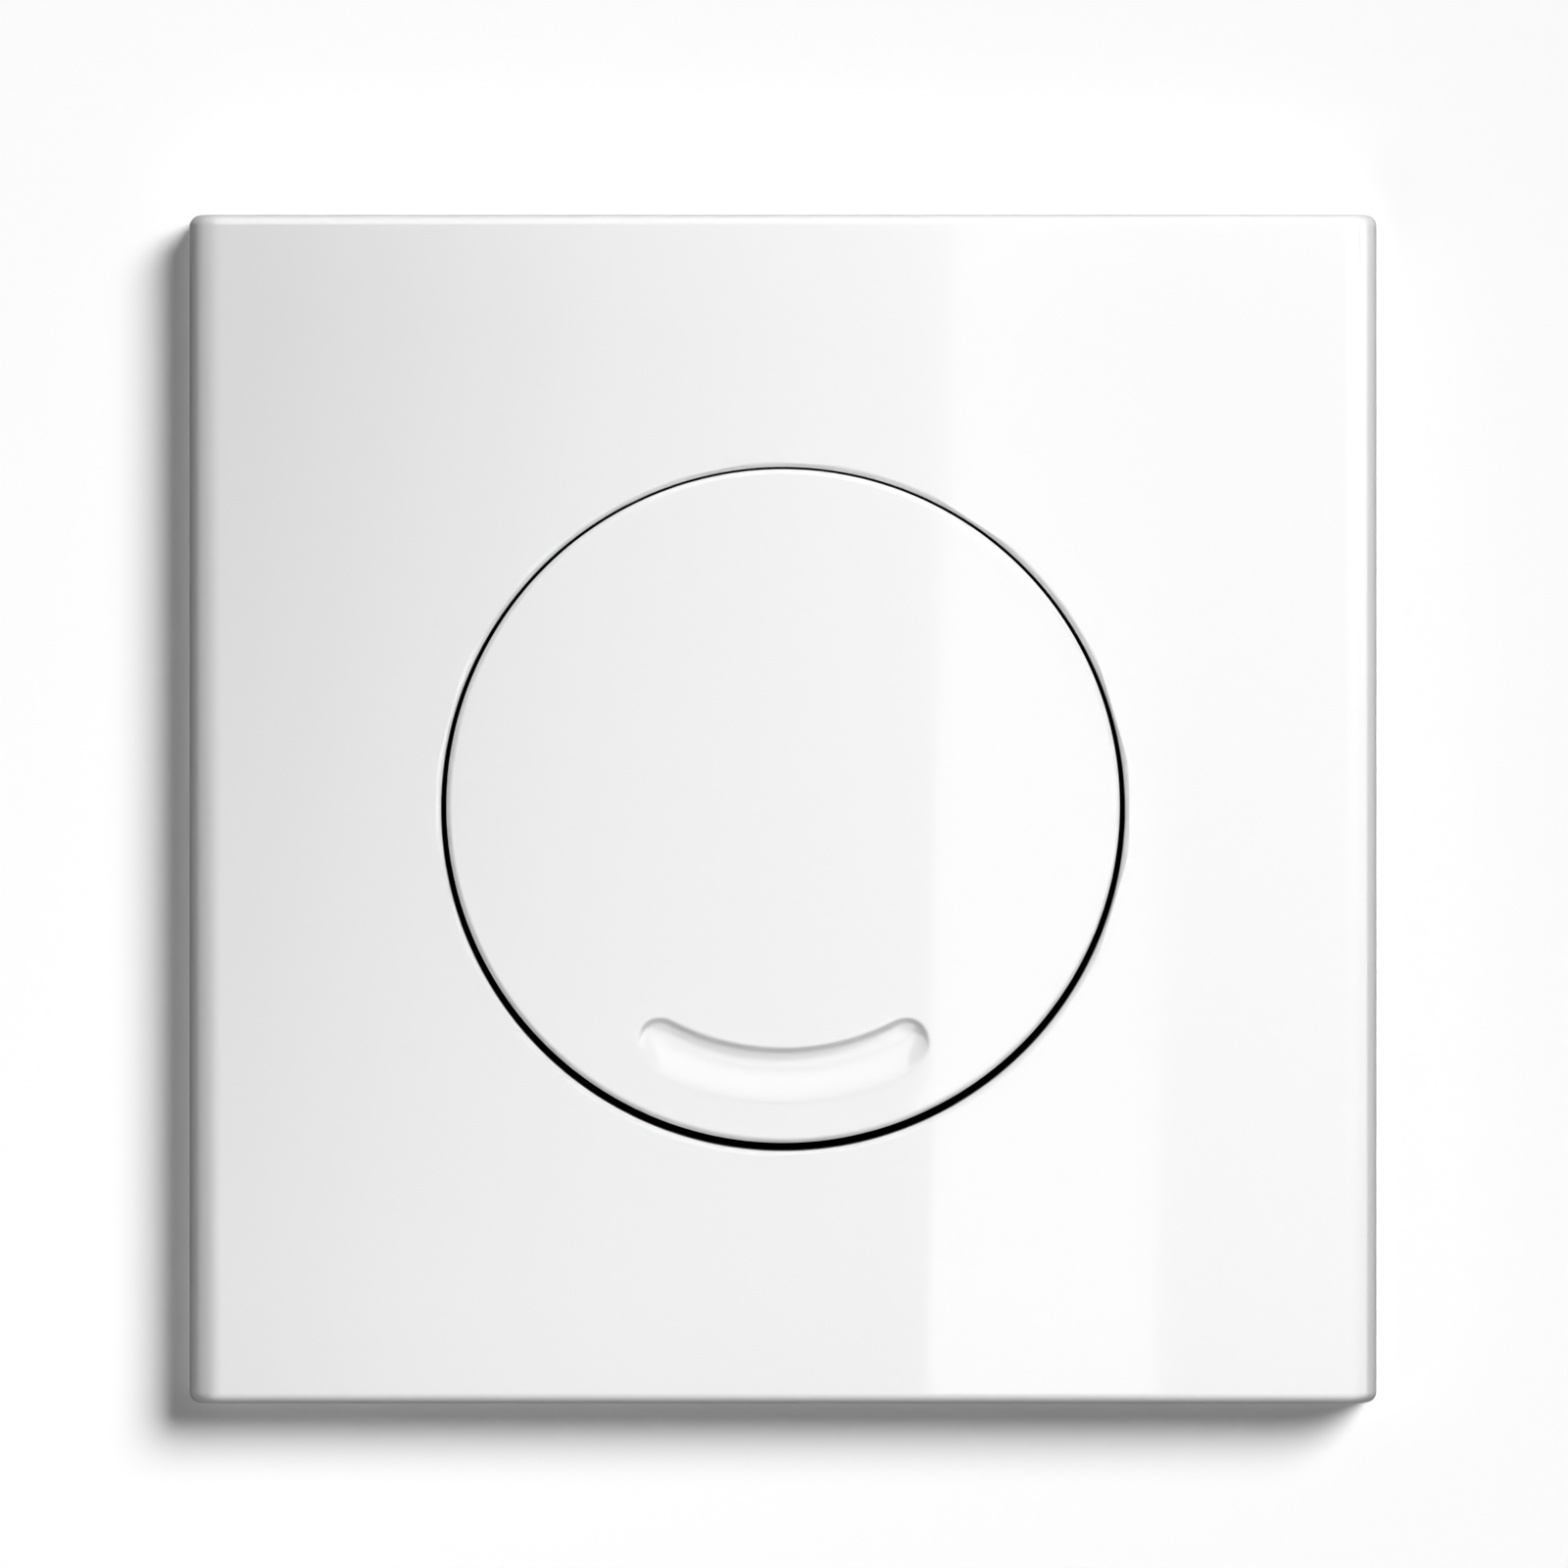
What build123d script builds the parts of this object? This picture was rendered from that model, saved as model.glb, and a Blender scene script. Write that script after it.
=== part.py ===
from build123d import *
import os
from itertools import product
from math import radians, sin

# Wall-hung flush plate for a concealed cistern, with one round tilting button.
# X runs to the right and Z up along the wall, and Y runs into the wall. The origin is the plate's centre
# on the face of the wall. A depth is counted forward from that face, so what stands inside the wall has
# a negative depth. Sizes are in millimetres and angles in degrees.

# Cover plate
PLATE_WIDTH = 160.0
PLATE_HEIGHT = 160.0
COVER_DEPTH = 10.0
COVER_WALL = 2.4
SIDE_ROLL = 4.5
END_ROUND = 1.5
OPENING_DIAMETER = 92.0
OPENING_ROUND = 0.9
COLLAR_WALL = 1.8
COLLAR_HEIGHT = 5.1
RIB_WALL = 1.4
RIB_HEIGHT = 2.6
SIDE_RIB_GAP = 4.0
END_RIB_INSET = 14.0

# Button cap and its finger recess
BUTTON_GAP = 0.7
BUTTON_LIFT = 0.4
BUTTON_ROUND = 0.8
CAP_WALL = 2.4
SKIRT_WALL = 1.8
SKIRT_HEIGHT = 4.1
RECESS_INNER_RADIUS = 32.3
RECESS_OUTER_RADIUS = 39.8
RECESS_HALF_ANGLE = 32.0
RECESS_CORNER = 2.6
RECESS_DEPTH = 0.95
RECESS_LIP_DEPTH = 0.15
RECESS_FLOOR_WIDTH = 3.1
RECESS_DRAFT = 42.0
RECESS_RIM_ROUND = 0.12
RECESS_BACKING = 1.2
TAB_ANGLE = 24.0
TAB_SPREAD = 9.0
TAB_WALL = 1.6
TAB_CATCH = 1.9
STAKE_DIAMETER = 4.0
STAKE_HEAD_DIAMETER = 6.4
STAKE_HEAD_HEIGHT = 1.0
STAKE_SPACING = 40.0
STAKE_UPPER_Z = 22.0
STAKE_LOWER_Z = -5.0

# Rocker, hinge and pusher
PIVOT_Z = 35.5
PIVOT_DEPTH = -1.0
PRESS_ANGLE = 5.0
PIN_DIAMETER = 3.0
LUG_RADIUS = 3.2
LUG_WALL = 3.0
LUG_X = 17.0
LUG_TAPER = 4.0
EAR_WALL = 3.0
EAR_TOP_Z = 56.0
EAR_TAPER = 5.0
ROCKER_WALL = 2.0
ROCKER_WIDTH = 50.0
ROCKER_BOTTOM_Z = -25.0
ROCKER_TOP_Z = 38.5
ROCKER_SHOULDER = 6.0
ROCKER_RIB_HEIGHT = 2.2
ROCKER_RIB_X = 12.0
NOSE_RADIUS = 4.5
ROD_Z = -18.0
PAD_X = 20.0
PAD_DIAMETER = 7.0
PAD_HEIGHT = 3.6

# Mounting frame
FRAME_SIDE_GAP = 3.6
FLANGE_WALL = 3.0
FRAME_CORNER = 6.0
FRAME_OPENING_GAP = 3.0
NECK_STUD_GAP = 4.5
NECK_INSET = 12.0
NECK_WALL = 2.5
NECK_DEPTH = 10.0
NECK_CORNER = 8.0
BRIDGE_DEPTH = 24.0
BRIDGE_WALL = 4.0
BRIDGE_HEIGHT = 22.0
BRIDGE_RIB_HEIGHT = 3.0
CHEEK_TAPER = 12.0

# Snap hooks that hold the cover on the frame
HOOK_INSET_X = 14.0
HOOK_INSET_Z = 18.0
HOOK_WIDTH = 10.0
HOOK_WALL = 1.6
HOOK_CATCH = 1.3
HOOK_TIP = 2.9
LOCATOR_SPREAD = 45.0
LOCATOR_WALL = 1.5

# Wall studs and their nuts
STUD_DIAMETER = 6.0
STUD_CORE_DIAMETER = 5.4
STUD_COLLAR_GAP = 2.2
STUD_LENGTH = 77.0
STUD_SLOT_LENGTH = 16.0
WASHER_DIAMETER = 13.0
WASHER_WALL = 0.8
NUT_DIAMETER = 12.0
NUT_HEIGHT = 3.2
NUT_GRIPS = 18
NUT_GRIP_RADIUS = 0.6

# Push rod, its guide and its spring
ROD_DIAMETER = 8.0
ROD_HEAD_DIAMETER = 15.0
ROD_HEAD_HEIGHT = 3.0
ROD_HEAD_ROUND = 0.6
ROD_LENGTH = 44.0
BUSH_DIAMETER = 12.0
BUSH_FLANGE_DIAMETER = 16.0
BUSH_FLANGE_WALL = 2.0
BUSH_TAIL = 3.0
BUSH_LIP = 0.6
SPRING_WIRE = 1.0
WIRE_SIDES = 8
SPRING_RADIUS = 5.6
SPRING_TURNS = 6.0
CLIP_WALL = 0.8
CLIP_DIAMETER = 13.0
CLIP_GROOVE = 0.8
CLIP_MOUTH = 5.6
SCREW_DIAMETER = 5.0
SCREW_ENGAGEMENT = 14.0
SCREW_LENGTH = 40.0
LOCK_NUT_WIDTH = 8.0
LOCK_NUT_HEIGHT = 4.0
TIP_DIAMETER = 10.0
TIP_LENGTH = 12.0
TIP_GRIP = 8.0
TIP_ROUND = 1.0
BUFFER_DIAMETER = 8.0
BUFFER_HEIGHT = 3.0
BUFFER_ROUND = 0.6
BUFFER_STEM_DIAMETER = 3.4
BUFFER_STEM_LENGTH = 6.0

# Clearances
THREAD_GAP = 0.05
RUNNING_GAP = 0.08
SLIP_GAP = 0.2
SEAT_GAP = 0.3
FREE_GAP = 0.5

# Places worked out from the sizes above
INNER_DEPTH = COVER_DEPTH - COVER_WALL
OPENING_RADIUS = OPENING_DIAMETER / 2
COLLAR_REAR = INNER_DEPTH - COLLAR_HEIGHT
EAR_FRONT = COLLAR_REAR - SEAT_GAP
CAP_RADIUS = OPENING_RADIUS - BUTTON_GAP
CAP_UNDERSIDE = COVER_DEPTH - CAP_WALL
SKIRT_REAR = CAP_UNDERSIDE - SKIRT_HEIGHT
ROCKER_REAR = CAP_UNDERSIDE - ROCKER_WALL
EAR_X = LUG_X + (LUG_WALL + EAR_WALL) / 2 + FREE_GAP
EAR_REAR = PIVOT_DEPTH - LUG_RADIUS
NOSE_TIP = PIVOT_DEPTH - FREE_GAP
ROD_FRONT = NOSE_TIP - RUNNING_GAP
ROD_HEAD_REAR = ROD_FRONT - ROD_HEAD_HEIGHT
ROD_REAR = ROD_FRONT - ROD_LENGTH
BRIDGE_FRONT = BRIDGE_WALL - BRIDGE_DEPTH
BUSH_FRONT = BRIDGE_FRONT + BUSH_FLANGE_WALL
BUSH_REAR = -BRIDGE_DEPTH - BUSH_TAIL
CLIP_FRONT = BUSH_REAR - SEAT_GAP
SCREW_FRONT = ROD_REAR + SCREW_ENGAGEMENT
SCREW_REAR = SCREW_FRONT - SCREW_LENGTH
TIP_REAR = SCREW_REAR + TIP_GRIP - TIP_LENGTH
FLANGE_WIDTH = PLATE_WIDTH - 2 * (COVER_WALL + FRAME_SIDE_GAP)
FLANGE_HEIGHT = PLATE_HEIGHT - 2 * (COVER_WALL + FRAME_SIDE_GAP)
NUT_REAR = FLANGE_WALL + WASHER_WALL
STUD_FRONT = NUT_REAR + NUT_HEIGHT
STUD_X = OPENING_RADIUS + COLLAR_WALL + STUD_COLLAR_GAP + NUT_DIAMETER / 2
STUD_SPACING = 2 * STUD_X
NECK_WIDTH = STUD_SPACING + STUD_DIAMETER + 2 * (NECK_STUD_GAP + NECK_WALL)
NECK_HEIGHT = FLANGE_HEIGHT - 2 * NECK_INSET
HOOK_X = NECK_WIDTH / 2 - HOOK_INSET_X
HOOK_Z = NECK_HEIGHT / 2 - HOOK_INSET_Z
PAD_REAR = ROCKER_REAR - PAD_HEIGHT
PAD_TRAVEL = (PIVOT_Z - ROD_Z + PAD_DIAMETER / 2) * sin(radians(PRESS_ANGLE))
BUFFER_FRONT = PAD_REAR - PAD_TRAVEL - SEAT_GAP
BUFFER_REAR = BUFFER_FRONT - BUFFER_HEIGHT
FRAME_OPENING_RADIUS = OPENING_RADIUS + FRAME_OPENING_GAP


def wall_plane(depth):
    """The plane parallel to the wall at this depth in front of it, with X right and Z up."""
    return Plane.XZ.offset(depth)


def button_plane(depth):
    """The same plane, centred on the button, which sits a little high in the opening at rest."""
    return Plane(origin=(0, -depth, BUTTON_LIFT), x_dir=(1, 0, 0), z_dir=(0, -1, 0))


def side_plane(x):
    """The upright plane at this X, whose own x runs into the wall."""
    return Plane.YZ.offset(x)


def depth_axis(x, z):
    """The line through this point of the wall, at right angles to the wall."""
    return Axis((x, 0, z), (0, 1, 0))


# Cover plate: a moulded tray with rolled sides, a collared opening, hinge ears and snap hooks
with BuildPart() as cover_cavity:
    with BuildSketch(wall_plane(0)):
        Rectangle(PLATE_WIDTH - 2 * COVER_WALL, PLATE_HEIGHT - 2 * COVER_WALL)
    extrude(amount=INNER_DEPTH)
    cavity_floor = cover_cavity.faces().sort_by(Axis.Y)[0]
    fillet(cavity_floor.edges().filter_by(Axis.Z), max(SIDE_ROLL - COVER_WALL, OPENING_ROUND))

with BuildPart() as snap_hook:
    with BuildSketch(side_plane(HOOK_X)):
        with BuildLine():
            Polyline(
                (-INNER_DEPTH, HOOK_Z),
                (HOOK_TIP, HOOK_Z),
                (HOOK_TIP, HOOK_Z + HOOK_WALL / 2),
                (SEAT_GAP, HOOK_Z + HOOK_WALL + HOOK_CATCH),
                (SEAT_GAP, HOOK_Z + HOOK_WALL),
                (-INNER_DEPTH, HOOK_Z + HOOK_WALL),
                close=True,
            )
        make_face()
    extrude(amount=HOOK_WIDTH / 2, both=True)
    mirror(about=Plane.YZ)
    mirror(about=Plane.XY)

with BuildPart() as hinge_ears:
    with BuildSketch(side_plane(EAR_X)):
        with Locations((-PIVOT_DEPTH, PIVOT_Z)):
            Circle(LUG_RADIUS)
        with BuildLine():
            Polyline(
                (-INNER_DEPTH, PIVOT_Z),
                (-INNER_DEPTH, EAR_TOP_Z),
                (-EAR_REAR, EAR_TOP_Z - EAR_TAPER),
                (-EAR_REAR, PIVOT_Z),
                close=True,
            )
        make_face()
        with Locations((-PIVOT_DEPTH, PIVOT_Z)):
            Circle(PIN_DIAMETER / 2, mode=Mode.SUBTRACT)
    extrude(amount=EAR_WALL / 2, both=True)
    mirror(about=Plane.YZ)

with BuildPart() as cover_plate:
    with BuildSketch(wall_plane(0)):
        Rectangle(PLATE_WIDTH, PLATE_HEIGHT)
    extrude(amount=COVER_DEPTH)
    cover_front = cover_plate.faces().sort_by(Axis.Y)[0]
    fillet(cover_front.edges().filter_by(Axis.Z), SIDE_ROLL)
    cover_ends = cover_plate.faces().filter_by(Axis.Z)
    fillet(cover_ends.edges().group_by(Axis.Y)[:-1], END_ROUND)
    add(cover_cavity.part, mode=Mode.SUBTRACT)
    # Collar round the opening, with ribs from it to the corners and along the sides
    with BuildSketch(wall_plane(COLLAR_REAR)):
        Circle(OPENING_RADIUS + COLLAR_WALL)
    extrude(amount=COLLAR_HEIGHT)
    with BuildSketch(wall_plane(INNER_DEPTH - RIB_HEIGHT)):
        with GridLocations(STUD_SPACING + NUT_DIAMETER + 2 * SIDE_RIB_GAP, 0, 2, 1):
            Rectangle(RIB_WALL, PLATE_HEIGHT - COVER_WALL)
        with GridLocations(0, PLATE_HEIGHT - 2 * END_RIB_INSET, 1, 2):
            Rectangle(PLATE_WIDTH - COVER_WALL, RIB_WALL)
    extrude(amount=RIB_HEIGHT)
    # Locators that centre the cover on the frame's flange
    locator_reach = FRAME_SIDE_GAP - SLIP_GAP
    with BuildSketch(wall_plane(SEAT_GAP)):
        locator_x = PLATE_WIDTH / 2 - COVER_WALL - locator_reach / 2
        locator_z = PLATE_HEIGHT / 2 - COVER_WALL - locator_reach / 2
        with GridLocations(2 * locator_x, 2 * LOCATOR_SPREAD, 2, 2):
            Rectangle(locator_reach, LOCATOR_WALL)
        with GridLocations(2 * LOCATOR_SPREAD, 2 * locator_z, 2, 2):
            Rectangle(LOCATOR_WALL, locator_reach)
    extrude(amount=INNER_DEPTH - SEAT_GAP)
    add(snap_hook.part)
    add(hinge_ears.part)
    with BuildSketch(wall_plane(EAR_FRONT)):
        Circle(OPENING_RADIUS)
    extrude(amount=COVER_DEPTH - EAR_FRONT, mode=Mode.SUBTRACT)
    front_face = cover_plate.faces().sort_by(Axis.Y)[0]
    fillet(front_face.edges().filter_by(GeomType.CIRCLE), OPENING_ROUND)
cover_plate.part.label = "cover_plate"


# Button cap: a flat round cap with a curved finger recess near its lower edge
with BuildSketch() as recess_outline:
    recess_angles = (270 - RECESS_HALF_ANGLE, 270 + RECESS_HALF_ANGLE)
    Circle(RECESS_OUTER_RADIUS)
    Circle(RECESS_INNER_RADIUS, mode=Mode.SUBTRACT)
    with BuildLine():
        sector_ends = [Vector(2 * CAP_RADIUS, 0).rotate(Axis.Z, angle) for angle in recess_angles]
        Polyline((0, 0), *sector_ends, close=True)
    make_face(mode=Mode.INTERSECT)
    fillet(recess_outline.vertices(), RECESS_CORNER)

with BuildPart() as finger_recess:
    with BuildSketch(button_plane(COVER_DEPTH)):
        add(recess_outline.sketch)
    extrude(amount=-RECESS_DEPTH, taper=RECESS_DRAFT)
    # The floor is deep along the upper wall and ramps up towards the lower lip
    with BuildSketch(Plane.YZ):
        with BuildLine():
            Polyline(
                (-COVER_DEPTH, BUTTON_LIFT - RECESS_INNER_RADIUS),
                (RECESS_DEPTH - COVER_DEPTH, BUTTON_LIFT - RECESS_INNER_RADIUS),
                (RECESS_DEPTH - COVER_DEPTH, BUTTON_LIFT - RECESS_INNER_RADIUS - RECESS_FLOOR_WIDTH),
                (RECESS_LIP_DEPTH - COVER_DEPTH, BUTTON_LIFT - RECESS_OUTER_RADIUS),
                (-COVER_DEPTH, BUTTON_LIFT - RECESS_OUTER_RADIUS),
                close=True,
            )
        make_face()
    revolve(axis=depth_axis(0, BUTTON_LIFT), mode=Mode.INTERSECT)

with BuildPart() as stop_tabs:
    tab_rear = EAR_FRONT - TAB_WALL
    # Two fingers carry on from the skirt and catch behind the collar
    for angle, reach_front in product((-TAB_ANGLE, TAB_ANGLE), ((0, SKIRT_REAR), (TAB_CATCH, EAR_FRONT))):
        with BuildSketch(button_plane(tab_rear)):
            Circle(CAP_RADIUS + reach_front[0])
            Circle(CAP_RADIUS - SKIRT_WALL, mode=Mode.SUBTRACT)
            with PolarLocations(CAP_RADIUS, 1, 270 + angle):
                Rectangle(CAP_RADIUS, TAB_SPREAD, mode=Mode.INTERSECT)
        extrude(amount=reach_front[1] - tab_rear)

with BuildPart() as flush_button:
    with BuildSketch(button_plane(SKIRT_REAR)):
        Circle(CAP_RADIUS)
    extrude(amount=COVER_DEPTH - SKIRT_REAR)
    with BuildSketch(button_plane(SKIRT_REAR)):
        Circle(CAP_RADIUS - SKIRT_WALL)
    extrude(amount=SKIRT_HEIGHT, mode=Mode.SUBTRACT)
    with BuildSketch(button_plane(CAP_UNDERSIDE - RECESS_BACKING)):
        offset(recess_outline.sketch, amount=RECESS_BACKING)
    extrude(amount=RECESS_BACKING)
    add(finger_recess.part, mode=Mode.SUBTRACT)
    cap_front = flush_button.faces().sort_by(Axis.Y)[0]
    fillet(cap_front.outer_wire().edges(), BUTTON_ROUND)
    cap_front = flush_button.faces().sort_by(Axis.Y)[0]
    fillet(cap_front.inner_wires()[0].edges(), RECESS_RIM_ROUND)
    # Stakes that go through the rocker and are melted over behind it
    stake_places = tuple(product((-STAKE_SPACING / 2, STAKE_SPACING / 2), (STAKE_UPPER_Z, STAKE_LOWER_Z)))
    with BuildSketch(wall_plane(ROCKER_REAR)):
        with Locations(*stake_places):
            Circle(STAKE_DIAMETER / 2)
    extrude(amount=ROCKER_WALL)
    with BuildSketch(wall_plane(ROCKER_REAR - STAKE_HEAD_HEIGHT)):
        with Locations(*stake_places):
            Circle(STAKE_HEAD_DIAMETER / 2)
    extrude(amount=STAKE_HEAD_HEIGHT)
    add(stop_tabs.part)
flush_button.part.label = "flush_button"


# Rocker: the lever staked behind the cap, with the hinge lugs, the pusher nose and the buffer pads
with BuildPart() as hinge_lugs:
    with BuildSketch(side_plane(LUG_X)):
        with BuildLine():
            Polyline(
                (-CAP_UNDERSIDE, PIVOT_Z - LUG_RADIUS - LUG_TAPER),
                (-CAP_UNDERSIDE, PIVOT_Z + LUG_RADIUS),
                (-PIVOT_DEPTH, PIVOT_Z + LUG_RADIUS),
                (-PIVOT_DEPTH, PIVOT_Z - LUG_RADIUS),
                close=True,
            )
        make_face()
        with Locations((-PIVOT_DEPTH, PIVOT_Z)):
            Circle(LUG_RADIUS)
            Circle(PIN_DIAMETER / 2 + RUNNING_GAP, mode=Mode.SUBTRACT)
    extrude(amount=LUG_WALL / 2, both=True)
    mirror(about=Plane.YZ)

with BuildPart() as button_rocker:
    with BuildSketch(wall_plane(ROCKER_REAR)):
        with BuildLine():
            Polyline(
                (-ROCKER_WIDTH / 2, ROCKER_BOTTOM_Z),
                (ROCKER_WIDTH / 2, ROCKER_BOTTOM_Z),
                (ROCKER_WIDTH / 2, ROCKER_TOP_Z - ROCKER_SHOULDER),
                (ROCKER_WIDTH / 2 - ROCKER_SHOULDER, ROCKER_TOP_Z),
                (ROCKER_SHOULDER - ROCKER_WIDTH / 2, ROCKER_TOP_Z),
                (-ROCKER_WIDTH / 2, ROCKER_TOP_Z - ROCKER_SHOULDER),
                close=True,
            )
        rocker_outline = make_face()
    extrude(amount=ROCKER_WALL)
    # Stiffening rim and two ribs from the hinge down past the nose
    with BuildSketch(wall_plane(ROCKER_REAR - ROCKER_RIB_HEIGHT)):
        add(rocker_outline)
        offset(rocker_outline, amount=-RIB_WALL, kind=Kind.INTERSECTION, mode=Mode.SUBTRACT)
        with Locations((0, (ROCKER_TOP_Z + ROCKER_BOTTOM_Z) / 2)):
            with GridLocations(2 * ROCKER_RIB_X, 0, 2, 1):
                Rectangle(RIB_WALL, ROCKER_TOP_Z - ROCKER_BOTTOM_Z)
        with Locations((0, ROD_Z)):
            Rectangle(2 * ROCKER_RIB_X, RIB_WALL)
            Rectangle(RIB_WALL, 2 * (ROD_Z - ROCKER_BOTTOM_Z))
    extrude(amount=ROCKER_RIB_HEIGHT)
    add(hinge_lugs.part)
    nose_centre = NOSE_TIP + NOSE_RADIUS
    with BuildSketch(wall_plane(nose_centre)):
        with Locations((0, ROD_Z)):
            Circle(NOSE_RADIUS)
    extrude(amount=ROCKER_REAR - nose_centre)
    with Locations((0, -nose_centre, ROD_Z)):
        Sphere(NOSE_RADIUS)
    with BuildSketch(wall_plane(PAD_REAR)):
        with Locations((-PAD_X, ROD_Z), (PAD_X, ROD_Z)):
            Circle(PAD_DIAMETER / 2)
    extrude(amount=PAD_HEIGHT)
    with BuildSketch(wall_plane(ROCKER_REAR)):
        with Locations(*stake_places):
            Circle(STAKE_DIAMETER / 2 + SLIP_GAP)
    extrude(amount=ROCKER_WALL, mode=Mode.SUBTRACT)
button_rocker.part.label = "button_rocker"

hinge_pins = []
for side, x_sign in (("left", -1), ("right", 1)):
    with BuildPart() as hinge_pin:
        with BuildSketch(side_plane(x_sign * (LUG_X - LUG_WALL / 2 - SEAT_GAP))):
            with Locations((-PIVOT_DEPTH, PIVOT_Z)):
                Circle(PIN_DIAMETER / 2)
        extrude(amount=x_sign * (LUG_WALL + EAR_WALL + FREE_GAP + 2 * SEAT_GAP))
    hinge_pin.part.label = f"{side}_hinge_pin"
    hinge_pins.append(hinge_pin)


# Mounting frame: a flange on the wall, a neck in the wall's cut-out and a bridge that guides the push rod
post_places = ((-PAD_X, ROD_Z), (PAD_X, ROD_Z))
with BuildPart() as mounting_frame:
    with BuildSketch(wall_plane(0)):
        RectangleRounded(FLANGE_WIDTH, FLANGE_HEIGHT, FRAME_CORNER)
    extrude(amount=FLANGE_WALL)
    with BuildSketch(wall_plane(-NECK_DEPTH)):
        RectangleRounded(NECK_WIDTH, NECK_HEIGHT, NECK_CORNER)
        RectangleRounded(
            NECK_WIDTH - 2 * NECK_WALL,
            NECK_HEIGHT - 2 * NECK_WALL,
            NECK_CORNER - NECK_WALL,
            mode=Mode.SUBTRACT,
        )
    extrude(amount=NECK_DEPTH)
    # Cheeks carry the bridge from the left and right walls of the neck
    cheek_reach = BRIDGE_HEIGHT / 2 + CHEEK_TAPER
    for x_sign in (-1, 1):
        with BuildSketch(side_plane(x_sign * NECK_WIDTH / 2)):
            with BuildLine():
                Polyline(
                    (0, ROD_Z - cheek_reach),
                    (BRIDGE_DEPTH, ROD_Z - BRIDGE_HEIGHT / 2),
                    (BRIDGE_DEPTH, ROD_Z + BRIDGE_HEIGHT / 2),
                    (0, ROD_Z + cheek_reach),
                    close=True,
                )
            make_face()
        extrude(amount=-x_sign * NECK_WALL)
    with BuildSketch(wall_plane(-BRIDGE_DEPTH)):
        with Locations((0, ROD_Z)):
            Rectangle(NECK_WIDTH, BRIDGE_HEIGHT)
    extrude(amount=BRIDGE_WALL)
    with BuildSketch(wall_plane(BRIDGE_FRONT)):
        with Locations((0, ROD_Z)):
            with GridLocations(0, BRIDGE_HEIGHT - RIB_WALL, 1, 2):
                Rectangle(NECK_WIDTH, RIB_WALL)
    extrude(amount=BRIDGE_RIB_HEIGHT)
    with BuildSketch(wall_plane(BRIDGE_FRONT)):
        with Locations(*post_places):
            Circle(BUFFER_DIAMETER / 2)
    extrude(amount=BUFFER_REAR - BRIDGE_FRONT)
    with BuildSketch(wall_plane(BUFFER_REAR - BUFFER_STEM_LENGTH - FREE_GAP)):
        with Locations(*post_places):
            Circle(BUFFER_STEM_DIAMETER / 2 + THREAD_GAP)
    extrude(amount=BUFFER_STEM_LENGTH + FREE_GAP, mode=Mode.SUBTRACT)
    with BuildSketch(wall_plane(-BRIDGE_DEPTH)):
        with Locations((0, ROD_Z)):
            Circle(BUSH_DIAMETER / 2 + RUNNING_GAP)
    extrude(amount=BRIDGE_WALL, mode=Mode.SUBTRACT)
    # Openings in the flange for the button, the hinge ears, the studs and the hooks
    hook_slot_height = HOOK_WALL + 2 * FREE_GAP
    with BuildSketch(wall_plane(0)):
        Circle(FRAME_OPENING_RADIUS)
        with Locations((0, EAR_TOP_Z / 2)):
            Rectangle(2 * EAR_X + 2 * EAR_WALL, EAR_TOP_Z)
        with GridLocations(STUD_SPACING, 0, 2, 1):
            SlotOverall(STUD_SLOT_LENGTH, STUD_DIAMETER + 2 * SEAT_GAP, rotation=90)
        with GridLocations(2 * HOOK_X, 2 * HOOK_Z + HOOK_WALL, 2, 2):
            Rectangle(HOOK_WIDTH + 2 * FREE_GAP, hook_slot_height)
    extrude(amount=FLANGE_WALL, mode=Mode.SUBTRACT)
mounting_frame.part.label = "mounting_frame"


# Wall studs, with the washers and knurled nuts that clamp the frame
with BuildPart() as fixing_studs:
    with BuildSketch(wall_plane(STUD_FRONT - STUD_LENGTH)):
        with GridLocations(STUD_SPACING, 0, 2, 1):
            Circle(STUD_DIAMETER / 2)
    extrude(amount=STUD_LENGTH - STUD_FRONT)
    with BuildSketch(wall_plane(0)):
        with GridLocations(STUD_SPACING, 0, 2, 1):
            Circle(STUD_CORE_DIAMETER / 2)
    extrude(amount=STUD_FRONT)
fixing_studs.part.label = "fixing_studs"

with BuildPart() as stud_washers:
    with BuildSketch(wall_plane(FLANGE_WALL)):
        with GridLocations(STUD_SPACING, 0, 2, 1):
            Circle(WASHER_DIAMETER / 2)
            Circle(STUD_DIAMETER / 2 + SLIP_GAP, mode=Mode.SUBTRACT)
    extrude(amount=WASHER_WALL)
stud_washers.part.label = "stud_washers"

with BuildPart() as stud_nuts:
    with BuildSketch(wall_plane(NUT_REAR)):
        with GridLocations(STUD_SPACING, 0, 2, 1):
            Circle(NUT_DIAMETER / 2)
            Circle(STUD_CORE_DIAMETER / 2 + THREAD_GAP, mode=Mode.SUBTRACT)
        for x_sign in (-1, 1):
            with Locations((x_sign * STUD_X, 0)):
                with PolarLocations(NUT_DIAMETER / 2, NUT_GRIPS):
                    Circle(NUT_GRIP_RADIUS, mode=Mode.SUBTRACT)
    extrude(amount=NUT_HEIGHT)
stud_nuts.part.label = "stud_nuts"


# Push rod line: guide bush, rod, spring, clip, adjusting screw, lock nut and tip on one axis
rod_line = depth_axis(0, ROD_Z)

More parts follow.
